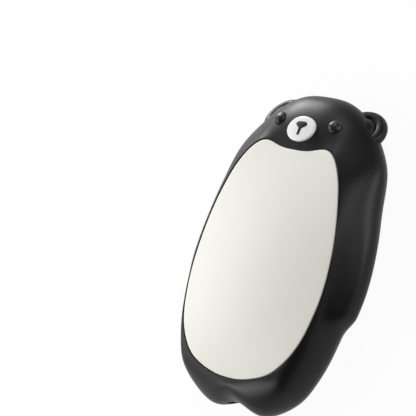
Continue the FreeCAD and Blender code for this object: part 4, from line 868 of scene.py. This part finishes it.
class WARMER_OT_muzzle(bpy.types.Operator):
    """Domed muzzle with its flange, pressed as the power button, and the nose set in it"""
    bl_idname = "warmer.muzzle"
    bl_label = "Muzzle and nose"

    def execute(self, context):
        sizes = context.scene.warmer_body
        face = context.scene.warmer_face
        form = BearForm(sizes, BODY_COLUMNS)
        y = sizes.body_length / 2 - face.muzzle_from_top
        point, normal = on_face(form, 0, y)
        centre = point + normal * (face.muzzle_proud - face.muzzle_dome)
        steps = np.arange(MUZZLE_STEPS) * FULL_TURN / MUZZLE_STEPS

        def ring(offset, height=None, drop=0.0):
            """Points round the muzzle, on its dome or at a height."""
            plan = np.column_stack([(face.muzzle_width / 2 + offset) * np.cos(steps),
                                    y + (face.muzzle_length / 2 + offset) * np.sin(steps)])
            if height is None:
                height = self.dome(face, centre, plan) - drop
            return np.column_stack([plan, np.broadcast_to(height, len(plan))])

        edge = face.muzzle_edge
        rim = ring(-edge)
        top = np.array([0, y])
        rows = []
        for share in np.linspace(0, 1, MUZZLE_ROWS):
            plan = top + (rim[:, :2] - top) * share
            rows.append(np.column_stack([plan, self.dome(face, centre, plan)]))
        for angle in np.radians(np.linspace(0, 90, MUZZLE_EDGE_ROWS)[1:]):
            rows.append(ring(edge * (math.sin(angle) - 1), drop=edge * (1 - math.cos(angle))))
        reach = face.muzzle_gap + face.flange_width
        base = face.flange_top - face.flange_thickness
        rows += [ring(0, face.flange_top), ring(reach, face.flange_top), ring(reach, base)]
        rows.append(np.broadcast_to(np.array([0, y, base]), rows[0].shape))
        piece = new_object("muzzle_cap", skin(rows, closed=False))
        carve(piece, self.nose(face, centre, y, face.inlay_gap, face.muzzle_proud), "DIFFERENCE")
        colours = context.scene.warmer_colours
        show(piece, white_cap(colours.muzzle), "power_button", ["muzzle_button"])
        nose = new_object("nose_mark", self.nose(face, centre, y, 0, face.inlay_proud))
        show(nose, gloss_black(colours.gloss), "power_button", ["nose_inlay"])
        return {"FINISHED"}

    def dome(self, face, centre, plan):
        """Height of the muzzle's dome above places."""
        return centre.z + np.sqrt(face.muzzle_dome ** 2 - (plan[:, 0] - centre.x) ** 2
                                  - (plan[:, 1] - centre.y) ** 2)

    def nose(self, face, centre, y, margin, proud):
        """The nose and the mouth's line as one block whose top follows the dome."""
        sides = NOSE_SHARES + [(-x, along) for x, along in NOSE_SHARES[-2:0:-1]]
        outline = []
        spread = 1 + 2 * margin / face.nose_width
        for x, along in sides:
            outline.append((x * face.nose_width / 2 * spread + np.sign(x) * margin,
                            y + face.nose_rise + along * face.nose_length / 2 * spread))
        bm = block(outline, 0, 1)
        for vert in bm.verts:
            rise = proud if vert.co.z > 0.5 else -face.inlay_depth - margin
            vert.co.z = self.dome(face, centre, np.array([vert.co[:2]]))[0] + rise
        if not margin:
            break_edges(bm, face.inlay_edge, least_angle=50, segments=3)
        return bm


class WARMER_OT_eyes(bpy.types.Operator):
    """Bead eyes in their seats"""
    bl_idname = "warmer.eyes"
    bl_label = "Eyes"

    def execute(self, context):
        sizes = context.scene.warmer_body
        face = context.scene.warmer_face
        form = BearForm(sizes, BODY_COLUMNS)
        material = gloss_black(context.scene.warmer_colours.gloss)
        radius = face.eye_diameter / 2
        base = face.eye_gap - face.eye_seat
        profile = [(0, base), (radius, base), (radius, 0)]
        profile += arc(0, 0, radius, face.eye_dome, 4, 90, steps=22)
        for name, sign in (("left", -1), ("right", 1)):
            bm = turned(profile, EYE_STEPS)
            bmesh.ops.transform(bm, matrix=eye_place(form, sizes, face, sign), verts=bm.verts)
            piece = new_object(f"bead_eye_{name}", bm)
            show(piece, material, "housing", [f"eye_{name}"], sharp_angle=50)
        return {"FINISHED"}


class WARMER_OT_socket(bpy.types.Operator):
    """Charging socket: drawn shell with a rounded mouth, and the tongue with its contacts"""
    bl_idname = "warmer.socket"
    bl_label = "Charging socket"

    def execute(self, context):
        socket = context.scene.warmer_socket
        low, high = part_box("usb_shell")
        bm = rounded_box(socket.width, socket.height, socket.corner, socket.depth)
        front = min(bm.faces, key=lambda face: face.calc_center_median().y)
        bmesh.ops.inset_region(bm, faces=[front], thickness=socket.wall)
        pushed = bmesh.ops.extrude_discrete_faces(bm, faces=[front])["faces"][0]
        bmesh.ops.translate(bm, vec=(0, socket.depth - socket.wall, 0), verts=pushed.verts)
        mouth = [edge for edge in bm.edges if all(abs(vert.co.y) < MERGE for vert in edge.verts)
                 and edge.calc_face_angle(0) > MOUTH_ANGLE]
        bmesh.ops.bevel(bm, geom=mouth, offset=socket.lip, offset_type="OFFSET", affect="EDGES", segments=3,
                        profile=0.5, material=-1, clamp_overlap=True)
        bmesh.ops.recalc_face_normals(bm, faces=bm.faces)
        bmesh.ops.translate(bm, vec=(0, low.y, (low.z + high.z) / 2), verts=bm.verts)
        colours = context.scene.warmer_colours
        show(new_object("socket_shell", bm), tin_plate(colours.socket), "housing",
             ["usb_shell"])
        paint_node("usb_tongue", contact_resin(colours.tongue, colours.contacts, socket.contact_pitch))
        return {"FINISHED"}


class WARMER_OT_screws(bpy.types.Operator):
    """Four rear screws with rounded heads, a cross in each head, and threads"""
    bl_idname = "warmer.screws"
    bl_label = "Rear screws"

    def execute(self, context):
        sizes = context.scene.warmer_body
        screw = context.scene.warmer_screws
        rim = screw.head_radius - screw.head_round
        profile = [(0, 0)]
        profile += arc(rim, screw.head_round, screw.head_round, screw.head_round, -90, 0, steps=6)
        profile += [(screw.head_radius, screw.head_height), (screw.root, screw.head_height)]
        turns = int((screw.length - screw.pitch) / screw.pitch)
        for turn in range(turns):
            start = screw.head_height + turn * screw.pitch
            profile += [(radius, start + share * screw.pitch) for radius, share in
                        zip((screw.root, screw.radius, screw.root), THREAD_SHARES)]
        tip = screw.head_height + screw.length
        profile += [(screw.root, tip - screw.pitch), (TIP_SHARE * screw.root, tip), (0, tip)]
        one = new_object("one_screw", turned(profile, SCREW_STEPS))
        reach, half = screw.cross_reach, screw.cross_width / 2
        cross = [(reach, -half), (reach, half), (half, half), (half, reach), (-half, reach), (-half, half),
                 (-reach, half), (-reach, -half), (-half, -half), (-half, -reach), (half, -reach),
                 (half, -half)]
        carve(one, block(cross, -screw.cross_depth, screw.cross_depth), "DIFFERENCE")
        form = taken_mesh(one)
        four = bmesh.new()
        x = sizes.body_width / 2 - screw.side
        for y in (sizes.body_length / 2 - screw.from_top, screw.from_feet - sizes.body_length / 2):
            for sign in (-1, 1):
                add_to(four, form, Matrix.Translation((sign * x, y, screw.recess)))
        form.free()
        show(new_object("rear_screws", four), zinc_plate(context.scene.warmer_colours.screws), "housing",
             ["cover_screws"])
        return {"FINISHED"}


class WARMER_OT_heater(bpy.types.Operator):
    """Heater stack under the plate: bonding ring, film, foam, sensor and leads"""
    bl_idname = "warmer.heater"
    bl_label = "Heater stack"

    def execute(self, context):
        paint_inside(["plate_gasket", "heating_film", "insulation_foam", "thermistor", "heater_lead_left",
                      "heater_lead_right"])
        return {"FINISHED"}


class WARMER_OT_battery(bpy.types.Operator):
    """Cell with its protection board, pad and leads"""
    bl_idname = "warmer.battery"
    bl_label = "Battery"

    def execute(self, context):
        paint_inside(["battery_cell", "battery_board", "battery_pad", "battery_lead_red",
                      "battery_lead_black"])
        return {"FINISHED"}


class WARMER_OT_boards(bpy.types.Operator):
    """Main board and button board with the parts on them, their screws and the cable between them"""
    bl_idname = "warmer.boards"
    bl_label = "Boards"

    def execute(self, context):
        paint_inside(["main_board", "control_chip", "inductor", "capacitors", "battery_socket",
                      "button_board", "switch_body", "switch_plunger", "indicator_leds", "button_cable",
                      "board_screws"])
        return {"FINISHED"}


class WARMER_OT_magnets(bpy.types.Operator):
    """Magnets in the rear cover"""
    bl_idname = "warmer.magnets"
    bl_label = "Magnets"

    def execute(self, context):
        paint_inside(["magnets"])
        return {"FINISHED"}


class WARMER_OT_stage(bpy.types.Operator):
    """Floor, lamps, sky and camera"""
    bl_idname = "warmer.stage"
    bl_label = "Stage"

    def execute(self, context):
        scene = context.scene
        bm = bmesh.new()
        bmesh.ops.create_circle(bm, cap_ends=True, segments=FLOOR_STEPS, radius=FLOOR_RADIUS)
        border = bmesh.ops.extrude_edge_only(bm, edges=bm.edges)["geom"]
        wall_top = [item for item in border if isinstance(item, bmesh.types.BMVert)]
        bmesh.ops.translate(bm, vec=(0, 0, BACKDROP_HEIGHT), verts=wall_top)
        bmesh.ops.translate(bm, vec=(0, 0, -FLOOR_GAP), verts=bm.verts)
        floor = new_object("floor", bm)
        floor.data.materials.append(self.floor_paint(scene.warmer_colours.floor))
        self.sky(scene)
        right, up, back = (Vector(axis) for axis in CAMERA_AXES)
        aim = Vector(CAMERA_AIM)
        for name, across, rise, near, distance, spread, power in LAMPS:
            lamp = bpy.data.lights.new(name, "AREA")
            lamp.shape = "DISK"
            lamp.size = spread
            lamp.energy = power
            way = (right * across + up * rise + back * near).normalized()
            item = bpy.data.objects.new(name, lamp)
            turn = way.to_track_quat("Z", "Y").to_matrix().to_4x4()
            item.matrix_world = Matrix.Translation(aim + way * distance) @ turn
            scene.collection.objects.link(item)
        lens = bpy.data.cameras.new("camera")
        lens.lens = CAMERA_LENS
        lens.sensor_width = CAMERA_SENSOR
        lens.clip_start = CAMERA_CLIP
        camera = bpy.data.objects.new("camera", lens)
        place = Matrix((right, up, back)).transposed().to_4x4()
        place.translation = aim + back * (CAMERA_LENS / CAMERA_SENSOR * CAMERA_FIELD)
        camera.matrix_world = place
        scene.collection.objects.link(camera)
        scene.camera = camera
        scene.view_settings.view_transform = "Standard"
        return {"FINISHED"}

    def floor_paint(self, colour):
        """Matt white paint that shows as the white background and still takes a soft shadow."""
        material = bpy.data.materials.new("matt_white_floor")
        material.use_nodes = True
        tree = material.node_tree
        tree.nodes.clear()
        paint = add_node(tree, "ShaderNodeBsdfDiffuse", {"Color": colour})
        glow = add_node(tree, "ShaderNodeEmission", {"Color": (1, 1, 1, 1), "Strength": 1.0})
        share = add_node(tree, "ShaderNodeMath", {0: self.seen(tree), 1: FLOOR_GLOW_SHARE},
                         operation="MULTIPLY")
        mix = add_node(tree, "ShaderNodeMixShader", {0: share.outputs[0], 1: paint.outputs[0],
                                                     2: glow.outputs[0]})
        add_node(tree, "ShaderNodeOutputMaterial", {"Surface": mix.outputs[0]})
        return material

    def seen(self, tree):
        """1 where the camera, a reflection or a clear piece looks, and 0 for other light."""
        path = add_node(tree, "ShaderNodeLightPath", {})
        mirror = add_node(tree, "ShaderNodeMath", {0: path.outputs["Is Camera Ray"],
                                                   1: path.outputs["Is Glossy Ray"]}, operation="MAXIMUM")
        return add_node(tree, "ShaderNodeMath", {0: mirror.outputs[0],
                                                 1: path.outputs["Is Transmission Ray"]},
                        operation="MAXIMUM").outputs[0]

    def sky(self, scene):
        """Weak, even light from all round."""
        scene.world = bpy.data.worlds.new("studio")
        scene.world.use_nodes = True
        tree = scene.world.node_tree
        tree.nodes.clear()
        sky = add_node(tree, "ShaderNodeBackground", {"Color": (1, 1, 1, 1), "Strength": SKY_LIGHT})
        add_node(tree, "ShaderNodeOutputWorld", {"Surface": sky.outputs[0]})


class WARMER_PT_pieces(bpy.types.Panel):
    """Lists the operators and the values of the warmer"""
    bl_idname = "WARMER_PT_pieces"
    bl_label = "Hand warmer"
    bl_space_type = "VIEW_3D"
    bl_region_type = "UI"
    bl_category = "Hand warmer"

    def draw(self, context):
        for operator in OPERATORS:
            self.layout.operator(operator.bl_idname)
        for group in GROUPS:
            values = getattr(context.scene, group)
            for key in values.bl_rna.properties.keys():
                if key not in ("name", "rna_type"):
                    self.layout.prop(values, key)


OPERATORS = [WARMER_OT_body, WARMER_OT_cover, WARMER_OT_plate, WARMER_OT_muzzle, WARMER_OT_eyes,
             WARMER_OT_socket, WARMER_OT_screws, WARMER_OT_heater, WARMER_OT_battery, WARMER_OT_boards,
             WARMER_OT_magnets, WARMER_OT_stage]
GROUPS = {"warmer_body": BodySizes, "warmer_face": FaceSizes, "warmer_socket": SocketSizes,
          "warmer_screws": ScrewSizes, "warmer_colours": Colours}


def register():
    for item in list(GROUPS.values()) + OPERATORS + [WARMER_PT_pieces]:
        bpy.utils.register_class(item)
    for name, group in GROUPS.items():
        setattr(bpy.types.Scene, name, bpy.props.PointerProperty(type=group))


def unregister():
    for name in GROUPS:
        delattr(bpy.types.Scene, name)
    for item in [WARMER_PT_pieces] + OPERATORS + list(GROUPS.values()):
        bpy.utils.unregister_class(item)


def main():
    """Builds the warmer and its stage."""
    register()
    bpy.ops.warmer.body()
    bpy.ops.warmer.cover()
    bpy.ops.warmer.plate()
    bpy.ops.warmer.muzzle()
    bpy.ops.warmer.eyes()
    bpy.ops.warmer.socket()
    bpy.ops.warmer.screws()
    bpy.ops.warmer.heater()
    bpy.ops.warmer.battery()
    bpy.ops.warmer.boards()
    bpy.ops.warmer.magnets()
    bpy.ops.warmer.stage()


if __name__ == "__main__":
    main()
